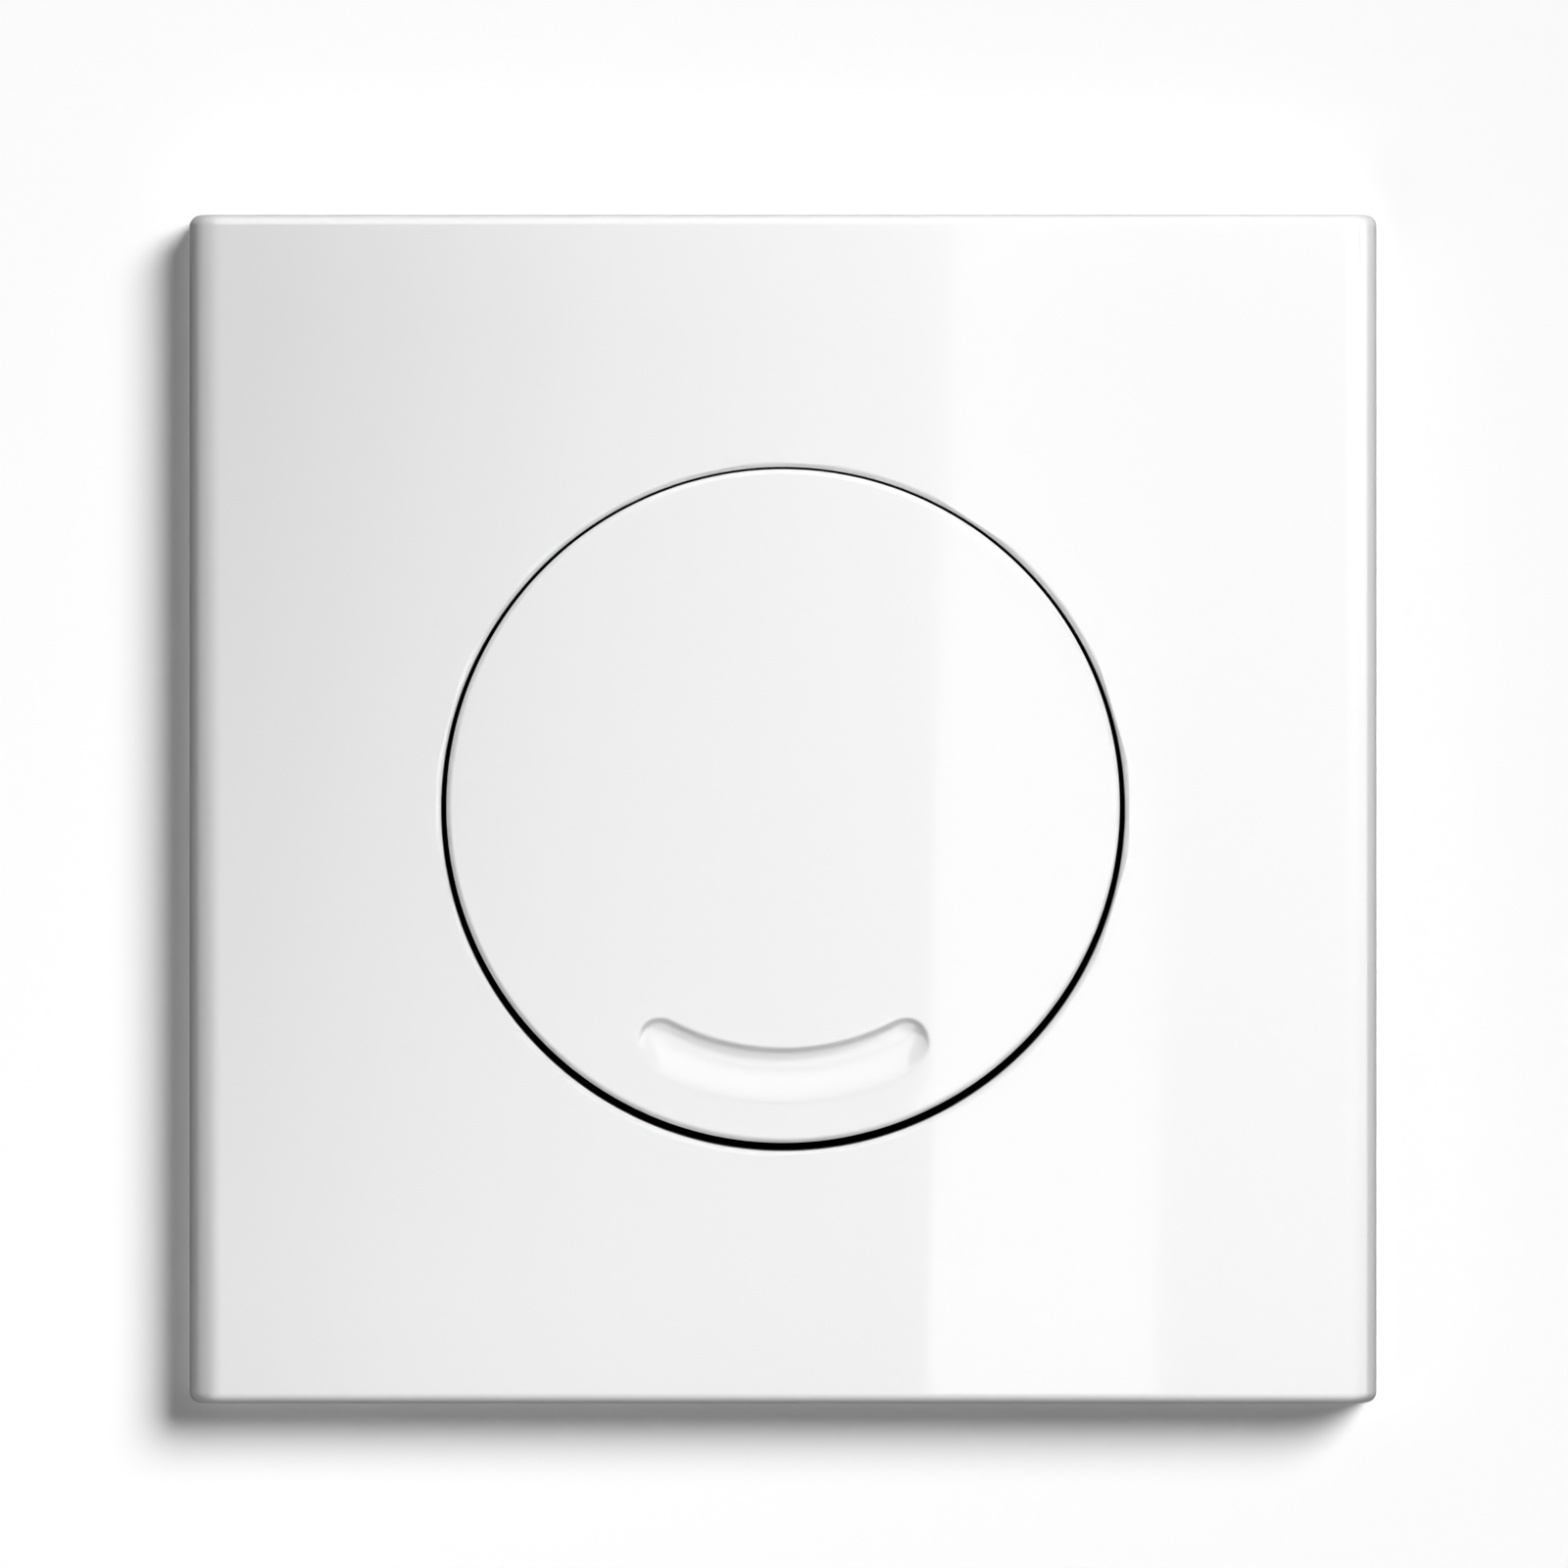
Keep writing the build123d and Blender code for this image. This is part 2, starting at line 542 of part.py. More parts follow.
with BuildPart() as guide_bush:
    with BuildSketch(Plane.YZ):
        with BuildLine():
            bore_z = ROD_Z + ROD_DIAMETER / 2 + RUNNING_GAP
            body_z = ROD_Z + BUSH_DIAMETER / 2
            flange_z = ROD_Z + BUSH_FLANGE_DIAMETER / 2
            Polyline(
                (-BUSH_FRONT, bore_z),
                (-BUSH_FRONT, flange_z),
                (-BRIDGE_FRONT, flange_z),
                (-BRIDGE_FRONT, body_z),
                (BRIDGE_DEPTH + SLIP_GAP, body_z),
                (BRIDGE_DEPTH + SLIP_GAP, body_z + BUSH_LIP),
                (-BUSH_REAR, body_z - BUSH_LIP),
                (-BUSH_REAR, bore_z),
                close=True,
            )
        make_face()
    revolve(axis=rod_line)
guide_bush.part.label = "guide_bush"

with BuildPart() as push_rod:
    with BuildSketch(wall_plane(ROD_HEAD_REAR)):
        with Locations((0, ROD_Z)):
            Circle(ROD_HEAD_DIAMETER / 2)
    extrude(amount=ROD_HEAD_HEIGHT)
    head_front = push_rod.faces().sort_by(Axis.Y)[0]
    fillet(head_front.edges(), ROD_HEAD_ROUND)
    with BuildSketch(wall_plane(ROD_REAR)):
        with Locations((0, ROD_Z)):
            Circle(ROD_DIAMETER / 2)
    extrude(amount=ROD_HEAD_REAR - ROD_REAR)
    with BuildSketch(wall_plane(CLIP_FRONT - CLIP_WALL - THREAD_GAP)):
        with Locations((0, ROD_Z)):
            Circle(ROD_DIAMETER)
            Circle(ROD_DIAMETER / 2 - CLIP_GROOVE, mode=Mode.SUBTRACT)
    extrude(amount=CLIP_WALL + 2 * THREAD_GAP, mode=Mode.SUBTRACT)
    with BuildSketch(wall_plane(ROD_REAR)):
        with Locations((0, ROD_Z)):
            Circle(SCREW_DIAMETER / 2 + THREAD_GAP)
    extrude(amount=SCREW_ENGAGEMENT + FREE_GAP, mode=Mode.SUBTRACT)
push_rod.part.label = "push_rod"

with BuildPart() as retaining_clip:
    with BuildSketch(wall_plane(CLIP_FRONT - CLIP_WALL)):
        with Locations((0, ROD_Z)):
            Circle(CLIP_DIAMETER / 2)
            Circle(ROD_DIAMETER / 2 - CLIP_GROOVE + THREAD_GAP, mode=Mode.SUBTRACT)
        with Locations((0, ROD_Z - CLIP_DIAMETER / 2)):
            Rectangle(CLIP_MOUTH, CLIP_DIAMETER, mode=Mode.SUBTRACT)
    extrude(amount=CLIP_WALL)
retaining_clip.part.label = "retaining_clip"

with BuildPart() as return_spring:
    spring_rise = ROD_HEAD_REAR - BUSH_FRONT - SPRING_WIRE
    spring_start = (0, SPRING_WIRE / 2 - ROD_HEAD_REAR, ROD_Z)
    with BuildLine() as spring_path:
        Helix(spring_rise / SPRING_TURNS, spring_rise, SPRING_RADIUS, spring_start, (0, 1, 0))
    with BuildSketch(Plane(origin=spring_path.line @ 0, z_dir=spring_path.line % 0)):
        RegularPolygon(SPRING_WIRE / 2, WIRE_SIDES)
    sweep(path=spring_path.line, is_frenet=True)
return_spring.part.label = "return_spring"

with BuildPart() as adjusting_screw:
    with BuildSketch(wall_plane(SCREW_REAR)):
        with Locations((0, ROD_Z)):
            Circle(SCREW_DIAMETER / 2)
    extrude(amount=SCREW_LENGTH)
adjusting_screw.part.label = "adjusting_screw"

with BuildPart() as lock_nut:
    with BuildSketch(wall_plane(ROD_REAR - LOCK_NUT_HEIGHT)):
        with Locations((0, ROD_Z)):
            RegularPolygon(LOCK_NUT_WIDTH / 2, 6, major_radius=False)
            Circle(SCREW_DIAMETER / 2 + THREAD_GAP, mode=Mode.SUBTRACT)
    extrude(amount=LOCK_NUT_HEIGHT)
lock_nut.part.label = "lock_nut"

with BuildPart() as rod_tip:
    with BuildSketch(wall_plane(TIP_REAR)):
        with Locations((0, ROD_Z)):
            Circle(TIP_DIAMETER / 2)
    extrude(amount=TIP_LENGTH)
    fillet(rod_tip.faces().filter_by(Axis.Y).edges(), TIP_ROUND)
    with BuildSketch(wall_plane(SCREW_REAR)):
        with Locations((0, ROD_Z)):
            Circle(SCREW_DIAMETER / 2 + THREAD_GAP)
    extrude(amount=TIP_GRIP, mode=Mode.SUBTRACT)
rod_tip.part.label = "rod_tip"

buffers = []
for side, place in zip(("left", "right"), post_places):
    with BuildPart() as buffer:
        with BuildSketch(wall_plane(BUFFER_REAR)):
            with Locations(place):
                Circle(BUFFER_DIAMETER / 2)
        extrude(amount=BUFFER_HEIGHT)
        buffer_front = buffer.faces().sort_by(Axis.Y)[0]
        fillet(buffer_front.edges(), BUFFER_ROUND)
        with BuildSketch(wall_plane(BUFFER_REAR - BUFFER_STEM_LENGTH)):
            with Locations(place):
                Circle(BUFFER_STEM_DIAMETER / 2)
        extrude(amount=BUFFER_STEM_LENGTH)
    buffer.part.label = f"{side}_buffer"
    buffers.append(buffer)


os.makedirs("parts", exist_ok=True)
for piece in (
    cover_plate,
    flush_button,
    button_rocker,
    *hinge_pins,
    mounting_frame,
    fixing_studs,
    stud_washers,
    stud_nuts,
    guide_bush,
    push_rod,
    retaining_clip,
    return_spring,
    adjusting_screw,
    lock_nut,
    rod_tip,
    *buffers,
):
    export_step(piece.part, f"parts/{piece.part.label}.step")
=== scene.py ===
import math

import bmesh
import bpy
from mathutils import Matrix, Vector
from mathutils.geometry import delaunay_2d_cdt


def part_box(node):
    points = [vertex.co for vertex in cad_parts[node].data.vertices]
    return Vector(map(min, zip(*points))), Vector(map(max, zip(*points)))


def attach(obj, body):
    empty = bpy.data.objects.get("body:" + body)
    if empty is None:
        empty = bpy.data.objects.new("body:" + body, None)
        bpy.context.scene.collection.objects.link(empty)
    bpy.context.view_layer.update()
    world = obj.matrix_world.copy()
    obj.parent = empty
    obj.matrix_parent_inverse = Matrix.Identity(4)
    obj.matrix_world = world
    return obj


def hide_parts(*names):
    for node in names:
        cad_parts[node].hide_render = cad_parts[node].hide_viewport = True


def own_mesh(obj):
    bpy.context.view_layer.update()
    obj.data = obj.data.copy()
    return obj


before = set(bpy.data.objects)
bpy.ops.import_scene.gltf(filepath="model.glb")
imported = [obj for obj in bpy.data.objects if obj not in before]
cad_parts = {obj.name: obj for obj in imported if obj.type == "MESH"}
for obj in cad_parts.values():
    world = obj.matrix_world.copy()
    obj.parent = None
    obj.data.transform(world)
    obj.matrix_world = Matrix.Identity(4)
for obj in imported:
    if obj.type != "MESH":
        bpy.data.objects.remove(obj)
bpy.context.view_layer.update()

# Mounting frame
# Grey polypropylene injection moulding: a flange that lies on the wall, a neck that fills the
# wall's cut-out and a bridge that guides the push rod. Its faces have a fine spark-eroded grain.

MM = 0.001
FRAME_EDGE_BREAK = 0.18 * MM
FRAME_GREY = (0.36, 0.38, 0.40, 1.0)
FRAME_GREY_PALE = (0.40, 0.42, 0.44, 1.0)
FRAME_ROUGHNESS = (0.48, 0.6)
FRAME_GRAIN_SCALE = 2600.0
FRAME_GRAIN_DEPTH = 0.02 * MM
MOULDED_FLOW_SCALE = 45.0
NOISE_MIDDLE = (0.3, 0.7)
SHARP_ANGLE = math.radians(32)
EDGE_BREAK_STEPS = 2
FLAT_FACE_WEIGHT = 50
WELD = 0.002 * MM
FLAT_JOIN = math.radians(0.4)


def welded_shape(node):
    """A mesh to work on from a CAD node: corners welded, flat faces joined."""
    shape = bmesh.new()
    shape.from_mesh(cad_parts[node].data)
    bmesh.ops.remove_doubles(shape, verts=shape.verts, dist=WELD)
    bmesh.ops.dissolve_limit(shape, angle_limit=FLAT_JOIN, verts=shape.verts, edges=shape.edges)
    return shape


def finish_piece(shape, name, edge_break=0.0):
    """Turns a shape into an object: smooth faces, sharp edges kept, moulded edges broken."""
    bmesh.ops.recalc_face_normals(shape, faces=shape.faces)
    for face in shape.faces:
        face.smooth = True
    for edge in shape.edges:
        edge.smooth = edge.is_manifold and edge.calc_face_angle(0.0) < SHARP_ANGLE
    mesh = bpy.data.meshes.new(name)
    shape.to_mesh(mesh)
    shape.free()
    piece = bpy.data.objects.new(name, mesh)
    bpy.context.scene.collection.objects.link(piece)
    if edge_break:
        bevel = piece.modifiers.new("broken_edges", "BEVEL")
        bevel.width = edge_break
        bevel.segments = EDGE_BREAK_STEPS
        bevel.limit_method = "ANGLE"
        bevel.angle_limit = SHARP_ANGLE
        bevel.harden_normals = False
    weighted = piece.modifiers.new("flat_faces_stay_flat", "WEIGHTED_NORMAL")
    weighted.mode = "FACE_AREA"
    weighted.weight = FLAT_FACE_WEIGHT
    weighted.keep_sharp = not edge_break
    return piece


def fit(piece, material, body, slot, *nodes):
    """Gives a piece its material, the body it moves with and the CAD nodes it stands for."""
    piece.data.materials.clear()
    piece.data.materials.append(material)
    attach(piece, body)
    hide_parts(*nodes)


def new_group(name, inputs, outputs):
    """A shader group with plain float or colour sockets."""
    group = bpy.data.node_groups.new(name, "ShaderNodeTree")
    for label, kind, value in inputs:
        socket = group.interface.new_socket(label, in_out="INPUT", socket_type=kind)
        socket.default_value = value
    for label, kind in outputs:
        group.interface.new_socket(label, in_out="OUTPUT", socket_type=kind)
    return group, group.nodes.new("NodeGroupInput"), group.nodes.new("NodeGroupOutput")


def noise(group, coordinates, detail, roughness=0.5):
    """A noise over the piece, whose scale the group then links to one of its inputs."""
    node = group.nodes.new("ShaderNodeTexNoise")
    node.inputs["Detail"].default_value = detail
    node.inputs["Roughness"].default_value = roughness
    group.links.new(coordinates, node.inputs["Vector"])
    return node


def spread(group, source, low, high):
    """Maps the middle of a noise to the range between two sockets."""
    node = group.nodes.new("ShaderNodeMapRange")
    node.inputs["From Min"].default_value, node.inputs["From Max"].default_value = NOISE_MIDDLE
    group.links.new(source, node.inputs["Value"])
    group.links.new(low, node.inputs["To Min"])
    group.links.new(high, node.inputs["To Max"])
    return node.outputs["Result"]


def tint_and_gloss(group, given, put_out, tint_mask, other_colour, gloss_mask):
    """Gives a group its colour, between two of its inputs, and its roughness."""
    tint = group.nodes.new("ShaderNodeMix")
    tint.data_type = "RGBA"
    group.links.new(tint_mask, tint.inputs["Factor"])
    group.links.new(given.outputs["Colour"], tint.inputs["A"])
    group.links.new(given.outputs[other_colour], tint.inputs["B"])
    group.links.new(tint.outputs["Result"], put_out.inputs["Colour"])
    gloss = spread(group, gloss_mask, given.outputs["Low Roughness"], given.outputs["High Roughness"])
    group.links.new(gloss, put_out.inputs["Roughness"])


def build_moulded_grain():
    """Colour, roughness and height of a moulded or rubber skin: flow mottling and fine grain."""
    group, given, put_out = new_group(
        "moulded_grain",
        [
            ("Colour", "NodeSocketColor", (0.5, 0.5, 0.5, 1)),
            ("Flow Colour", "NodeSocketColor", (0.55, 0.55, 0.55, 1)),
            ("Low Roughness", "NodeSocketFloat", 0.4),
            ("High Roughness", "NodeSocketFloat", 0.5),
            ("Flow Scale", "NodeSocketFloat", MOULDED_FLOW_SCALE),
            ("Grain Scale", "NodeSocketFloat", 3000.0),
        ],
        [("Colour", "NodeSocketColor"), ("Roughness", "NodeSocketFloat"), ("Height", "NodeSocketFloat")],
    )
    place = group.nodes.new("ShaderNodeTexCoord").outputs["Object"]
    flow = noise(group, place, detail=3.0)
    grain = noise(group, place, detail=2.0, roughness=0.6)
    group.links.new(given.outputs["Flow Scale"], flow.inputs["Scale"])
    group.links.new(given.outputs["Grain Scale"], grain.inputs["Scale"])
    tint_and_gloss(
        group, given, put_out, flow.outputs["Fac"], "Flow Colour", flow.outputs["Fac"]
    )
    group.links.new(grain.outputs["Fac"], put_out.inputs["Height"])
    return group


moulded_grain = build_moulded_grain()


def new_material(name):
    """A material and its Principled shader."""
    material = bpy.data.materials.new(name)
    material.use_nodes = True
    return material, material.node_tree.nodes["Principled BSDF"]


def place_group(material, group, values):
    """Puts a shared group into a material, with its own values."""
    node = material.node_tree.nodes.new("ShaderNodeGroup")
    node.node_tree = group
    for label, value in values.items():
        node.inputs[label].default_value = value
    return node


def raise_height(material, shader, height, distance):
    """Leads a height to the shader's normal through a bump of the given depth in metres."""
    bump = material.node_tree.nodes.new("ShaderNodeBump")
    bump.inputs["Strength"].default_value = 1.0
    bump.inputs["Distance"].default_value = distance
    material.node_tree.links.new(height, bump.inputs["Height"])
    material.node_tree.links.new(bump.outputs["Normal"], shader.inputs["Normal"])


def lay_skin(material, shader, skin, depth):
    """Leads a placed group's colour, roughness and height to the shader."""
    material.node_tree.links.new(skin.outputs["Colour"], shader.inputs["Base Color"])
    material.node_tree.links.new(skin.outputs["Roughness"], shader.inputs["Roughness"])
    raise_height(material, shader, skin.outputs["Height"], depth)


def grained_material(
    name, colour, flow_colour, roughness, grain_scale, grain_depth, flow_scale=MOULDED_FLOW_SCALE
):
    """A moulded plastic or rubber: colour, gloss and grain from the shared group."""
    material, shader = new_material(name)
    skin = place_group(material, moulded_grain, {
        "Colour": colour,
        "Flow Colour": flow_colour,
        "Low Roughness": roughness[0],
        "High Roughness": roughness[1],
        "Flow Scale": flow_scale,
        "Grain Scale": grain_scale,
    })
    lay_skin(material, shader, skin, grain_depth)
    return material


frame_plastic = grained_material(
    "frame_polypropylene", FRAME_GREY, FRAME_GREY_PALE, FRAME_ROUGHNESS, FRAME_GRAIN_SCALE, FRAME_GRAIN_DEPTH
)
mounting_frame = finish_piece(welded_shape("mounting_frame"), "moulded_mounting_frame", FRAME_EDGE_BREAK)
fit(mounting_frame, frame_plastic, "base", "frame_plastic", "mounting_frame")

# Fixing studs, washers and nuts
# Two lengths of zinc-plated M6 threaded rod are screwed into the cistern's frame behind the wall.
# A plated washer and a knurled nylon nut on each clamp the mounting frame.

STUD_PITCH = 1.0 * MM
STUD_CREST = 3.0 * MM
STUD_FRONT_CREST = 2.7 * MM
STUD_THREAD_DEPTH = 0.55 * MM
STUD_SIDES = 24
THREAD_ROWS = 6
THREAD_FORM = (0.0, 0.0, 0.5, 1.0, 1.0, 0.5)
ZINC = (0.60, 0.62, 0.64, 1.0)
ZINC_BRIGHT = (0.72, 0.73, 0.74, 1.0)
ZINC_ROUGHNESS = (0.26, 0.42)
ZINC_MARK_DEPTH = 0.006 * MM
ZINC_SPANGLE_SCALE = 500.0
NYLON_BLACK = (0.035, 0.035, 0.038, 1.0)
NYLON_BLOOM = (0.06, 0.06, 0.064, 1.0)
NYLON_ROUGHNESS = (0.38, 0.5)
NYLON_GRAIN_SCALE = 2200.0
NYLON_GRAIN_DEPTH = 0.015 * MM
WASHER_EDGE_BREAK = 0.1 * MM
NUT_EDGE_BREAK = 0.15 * MM


def add_thread(shape, centre, start, end, pitch, crest_at, depth, sides):
    """A right-hand thread along Y whose grid follows the helix, with chamfered, closed ends."""
    rows = int((end - start) / pitch * THREAD_ROWS) + 2 * THREAD_ROWS + 1
    grid = []
    for row in range(rows):
        ring = []
        for side in range(sides):
            y = start + (row / THREAD_ROWS + side / sides - 1) * pitch
            y = min(max(y, start), end)
            crest = crest_at(y)
            chamfer = crest - depth + min(y - start, end - y)
            radius = min(crest - depth * THREAD_FORM[row % THREAD_ROWS], chamfer)
            turn = -2 * math.pi * side / sides
            ring.append(shape.verts.new((
                centre[0] + radius * math.cos(turn), y, centre[1] + radius * math.sin(turn)
            )))
        grid.append(ring)
    for row in range(rows - 1):
        for side in range(sides):
            step = 0 if side + 1 < sides else THREAD_ROWS
            if row + 1 + step >= rows:
                continue
            across = (side + 1) % sides
            shape.faces.new((
                grid[row][side], grid[row + 1][side], grid[row + 1 + step][across], grid[row + step][across]
            ))
    bmesh.ops.remove_doubles(shape, verts=shape.verts, dist=WELD)
    loose = [vert for vert in shape.verts if not vert.link_faces]
    bmesh.ops.delete(shape, geom=loose, context="VERTS")
    bmesh.ops.holes_fill(shape, edges=[edge for edge in shape.edges if edge.is_boundary], sides=0)


def build_plated_steel():
    """Colour, roughness and height of steel: tumbled or drawn marks under a thin plating."""
    group, given, put_out = new_group(
        "plated_steel",
        [
            ("Colour", "NodeSocketColor", (0.6, 0.6, 0.6, 1)),
            ("Bright Colour", "NodeSocketColor", (0.7, 0.7, 0.7, 1)),
            ("Low Roughness", "NodeSocketFloat", 0.25),
            ("High Roughness", "NodeSocketFloat", 0.4),
            ("Spangle Scale", "NodeSocketFloat", ZINC_SPANGLE_SCALE),
            ("Scratch Scale", "NodeSocketFloat", 2500.0),
        ],
        [("Colour", "NodeSocketColor"), ("Roughness", "NodeSocketFloat"), ("Height", "NodeSocketFloat")],
    )
    place = group.nodes.new("ShaderNodeTexCoord").outputs["Object"]
    spangle = noise(group, place, detail=4.0, roughness=0.6)
    scratch = noise(group, place, detail=2.0, roughness=0.7)
    group.links.new(given.outputs["Spangle Scale"], spangle.inputs["Scale"])
    group.links.new(given.outputs["Scratch Scale"], scratch.inputs["Scale"])
    tint_and_gloss(
        group, given, put_out, spangle.outputs["Fac"], "Bright Colour", scratch.outputs["Fac"]
    )
    group.links.new(scratch.outputs["Fac"], put_out.inputs["Height"])
    return group


plated_steel = build_plated_steel()


def steel_material(name, colour, bright, roughness, mark_depth, spangle_scale=ZINC_SPANGLE_SCALE):
    """A metal whose colour, gloss and marks come from the shared group."""
    material, shader = new_material(name)
    shader.inputs["Metallic"].default_value = 1.0
    skin = place_group(material, plated_steel, {
        "Colour": colour,
        "Bright Colour": bright,
        "Low Roughness": roughness[0],
        "High Roughness": roughness[1],
        "Spangle Scale": spangle_scale,
    })
    lay_skin(material, shader, skin, mark_depth)
    return material


zinc_steel = steel_material("zinc_plated_steel", ZINC, ZINC_BRIGHT, ZINC_ROUGHNESS, ZINC_MARK_DEPTH)
black_nylon = grained_material(
    "black_nylon", NYLON_BLACK, NYLON_BLOOM, NYLON_ROUGHNESS, NYLON_GRAIN_SCALE, NYLON_GRAIN_DEPTH
)

stud_low, stud_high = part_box("fixing_studs")
stud_x = stud_high[0] - STUD_CREST
stud_z = (stud_low[2] + stud_high[2]) / 2


def stud_crest(y):
    """The thread has its full size behind the wall and keeps to the nut's bore in front."""
    return STUD_FRONT_CREST if y < 0 else STUD_CREST


stud_shape = bmesh.new()
for x in (-stud_x, stud_x):
    add_thread(
        stud_shape, (x, stud_z), stud_low[1], stud_high[1],
        STUD_PITCH, stud_crest, STUD_THREAD_DEPTH, STUD_SIDES,
    )
fixing_studs = finish_piece(stud_shape, "threaded_studs")
fit(fixing_studs, zinc_steel, "base", "zinc_steel", "fixing_studs")

stud_washers = finish_piece(welded_shape("stud_washers"), "plated_washers", WASHER_EDGE_BREAK)
fit(stud_washers, zinc_steel, "base", "zinc_steel", "stud_washers")

stud_nuts = finish_piece(welded_shape("stud_nuts"), "knurled_nuts", NUT_EDGE_BREAK)
fit(stud_nuts, black_nylon, "base", "nut_plastic", "stud_nuts")

# Guide bush, push rod and retaining clip
# The push rod and the flanged bush that it slides in are moulded from natural acetal.
# A spring steel clip in the rod's groove keeps the rod from coming out of the bush.

ACETAL = (0.78, 0.77, 0.73, 1.0)
ACETAL_MILKY = (0.84, 0.83, 0.79, 1.0)
ACETAL_ROUGHNESS = (0.26, 0.36)
ACETAL_GRAIN_SCALE = 1500.0
ACETAL_GRAIN_DEPTH = 0.006 * MM
ACETAL_FLOW_SCALE = 90.0
ROD_EDGE_BREAK = 0.2 * MM
CLIP_EDGE_BREAK = 0.08 * MM
CLIP_STEEL = (0.46, 0.46, 0.47, 1.0)
CLIP_STEEL_BRIGHT = (0.56, 0.56, 0.57, 1.0)
CLIP_ROUGHNESS = (0.2, 0.34)
CLIP_MARK_DEPTH = 0.004 * MM
CLIP_SPANGLE_SCALE = 900.0

acetal = grained_material(
    "natural_acetal", ACETAL, ACETAL_MILKY, ACETAL_ROUGHNESS, ACETAL_GRAIN_SCALE, ACETAL_GRAIN_DEPTH,
    ACETAL_FLOW_SCALE,
)
spring_steel = steel_material(
    "drawn_spring_steel", CLIP_STEEL, CLIP_STEEL_BRIGHT, CLIP_ROUGHNESS, CLIP_MARK_DEPTH, CLIP_SPANGLE_SCALE
)

guide_bush = finish_piece(welded_shape("guide_bush"), "acetal_guide_bush", ROD_EDGE_BREAK)
fit(guide_bush, acetal, "base", "rod_plastic", "guide_bush")

push_rod = finish_piece(welded_shape("push_rod"), "acetal_push_rod", ROD_EDGE_BREAK)
fit(push_rod, acetal, "rod", "rod_plastic", "push_rod")

retaining_clip = finish_piece(welded_shape("retaining_clip"), "steel_retaining_clip", CLIP_EDGE_BREAK)
fit(retaining_clip, spring_steel, "rod", "spring_steel", "retaining_clip")

# Return spring
# A compression spring of drawn steel wire with closed, ground ends, held between the push rod's
# head and the guide bush. It shortens as the rod goes in.

SPRING_WIRE = 1.0 * MM
SPRING_GROUND_OFF = 0.3 * SPRING_WIRE
SPRING_TURNS = 6.5
SPRING_CLOSED_TURNS = 0.9
SPRING_STEPS = 36
SPRING_WIRE_SIDES = 12

spring_low, spring_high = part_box("return_spring")
spring_x = (spring_low[0] + spring_high[0]) / 2
spring_z = (spring_low[2] + spring_high[2]) / 2
spring_mean = (spring_high[0] - spring_low[0] - SPRING_WIRE) / 2
spring_length = spring_high[1] - spring_low[1]
spring_shape = bmesh.new()
coil_start = spring_low[1] + SPRING_WIRE / 2 - SPRING_GROUND_OFF
coil_rise = spring_length - SPRING_WIRE * (1 + 2 * SPRING_CLOSED_TURNS) + 2 * SPRING_GROUND_OFF
wire_rings = []
for step in range(int(SPRING_TURNS * SPRING_STEPS) + 1):
    turns = step / SPRING_STEPS
    open_part = (turns - SPRING_CLOSED_TURNS) / (SPRING_TURNS - 2 * SPRING_CLOSED_TURNS)
    open_part = min(max(open_part, 0.0), 1.0)
    closed_part = turns - open_part * (SPRING_TURNS - 2 * SPRING_CLOSED_TURNS)
    middle = coil_start + closed_part * SPRING_WIRE + open_part * coil_rise
    turn = 2 * math.pi * turns
    ring = []
    for side in range(SPRING_WIRE_SIDES):
        around = 2 * math.pi * side / SPRING_WIRE_SIDES
        radius = spring_mean + SPRING_WIRE / 2 * math.cos(around)
        y = middle + SPRING_WIRE / 2 * math.sin(around)
        y = min(max(y, spring_low[1]), spring_high[1])
        ring.append(spring_shape.verts.new((
            spring_x + radius * math.cos(turn), y, spring_z + radius * math.sin(turn)
        )))
    wire_rings.append(ring)
for near, far in zip(wire_rings, wire_rings[1:]):
    for side in range(SPRING_WIRE_SIDES):
        across = (side + 1) % SPRING_WIRE_SIDES
        spring_shape.faces.new((near[side], near[across], far[across], far[side]))
spring_shape.faces.new(wire_rings[0])
spring_shape.faces.new(wire_rings[-1])
return_spring = finish_piece(spring_shape, "coiled_return_spring")
fit(return_spring, spring_steel, "base", "spring_steel", "return_spring")
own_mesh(return_spring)

# Adjusting screw, lock nut and rod tip
# A plated M5 screw sets the length of the push rod, and a hexagon nut locks it.
# A black rubber tip on its end meets the cistern's valve lever without noise.

SCREW_PITCH = 0.8 * MM
SCREW_THREAD_DEPTH = 0.45 * MM
SCREW_SIDES = 20
LOCK_NUT_EDGE_BREAK = 0.25 * MM
TIP_EDGE_BREAK = 0.5 * MM
RUBBER_BLACK = (0.022, 0.022, 0.023, 1.0)
RUBBER_BLOOM = (0.05, 0.05, 0.052, 1.0)
RUBBER_ROUGHNESS = (0.62, 0.78)
RUBBER_GRAIN_SCALE = 1800.0
RUBBER_GRAIN_DEPTH = 0.02 * MM
RUBBER_FLOW_SCALE = 160.0

screw_low, screw_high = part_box("adjusting_screw")
screw_radius = (screw_high[0] - screw_low[0]) / 2
screw_shape = bmesh.new()
add_thread(
    screw_shape,
    ((screw_low[0] + screw_high[0]) / 2, (screw_low[2] + screw_high[2]) / 2),
    screw_low[1],
    screw_high[1],
    SCREW_PITCH,
    lambda y: screw_radius,
    SCREW_THREAD_DEPTH,
    SCREW_SIDES,
)
adjusting_screw = finish_piece(screw_shape, "threaded_adjusting_screw")
fit(adjusting_screw, zinc_steel, "rod", "zinc_steel", "adjusting_screw")

lock_nut = finish_piece(welded_shape("lock_nut"), "hexagon_lock_nut", LOCK_NUT_EDGE_BREAK)
fit(lock_nut, zinc_steel, "rod", "zinc_steel", "lock_nut")

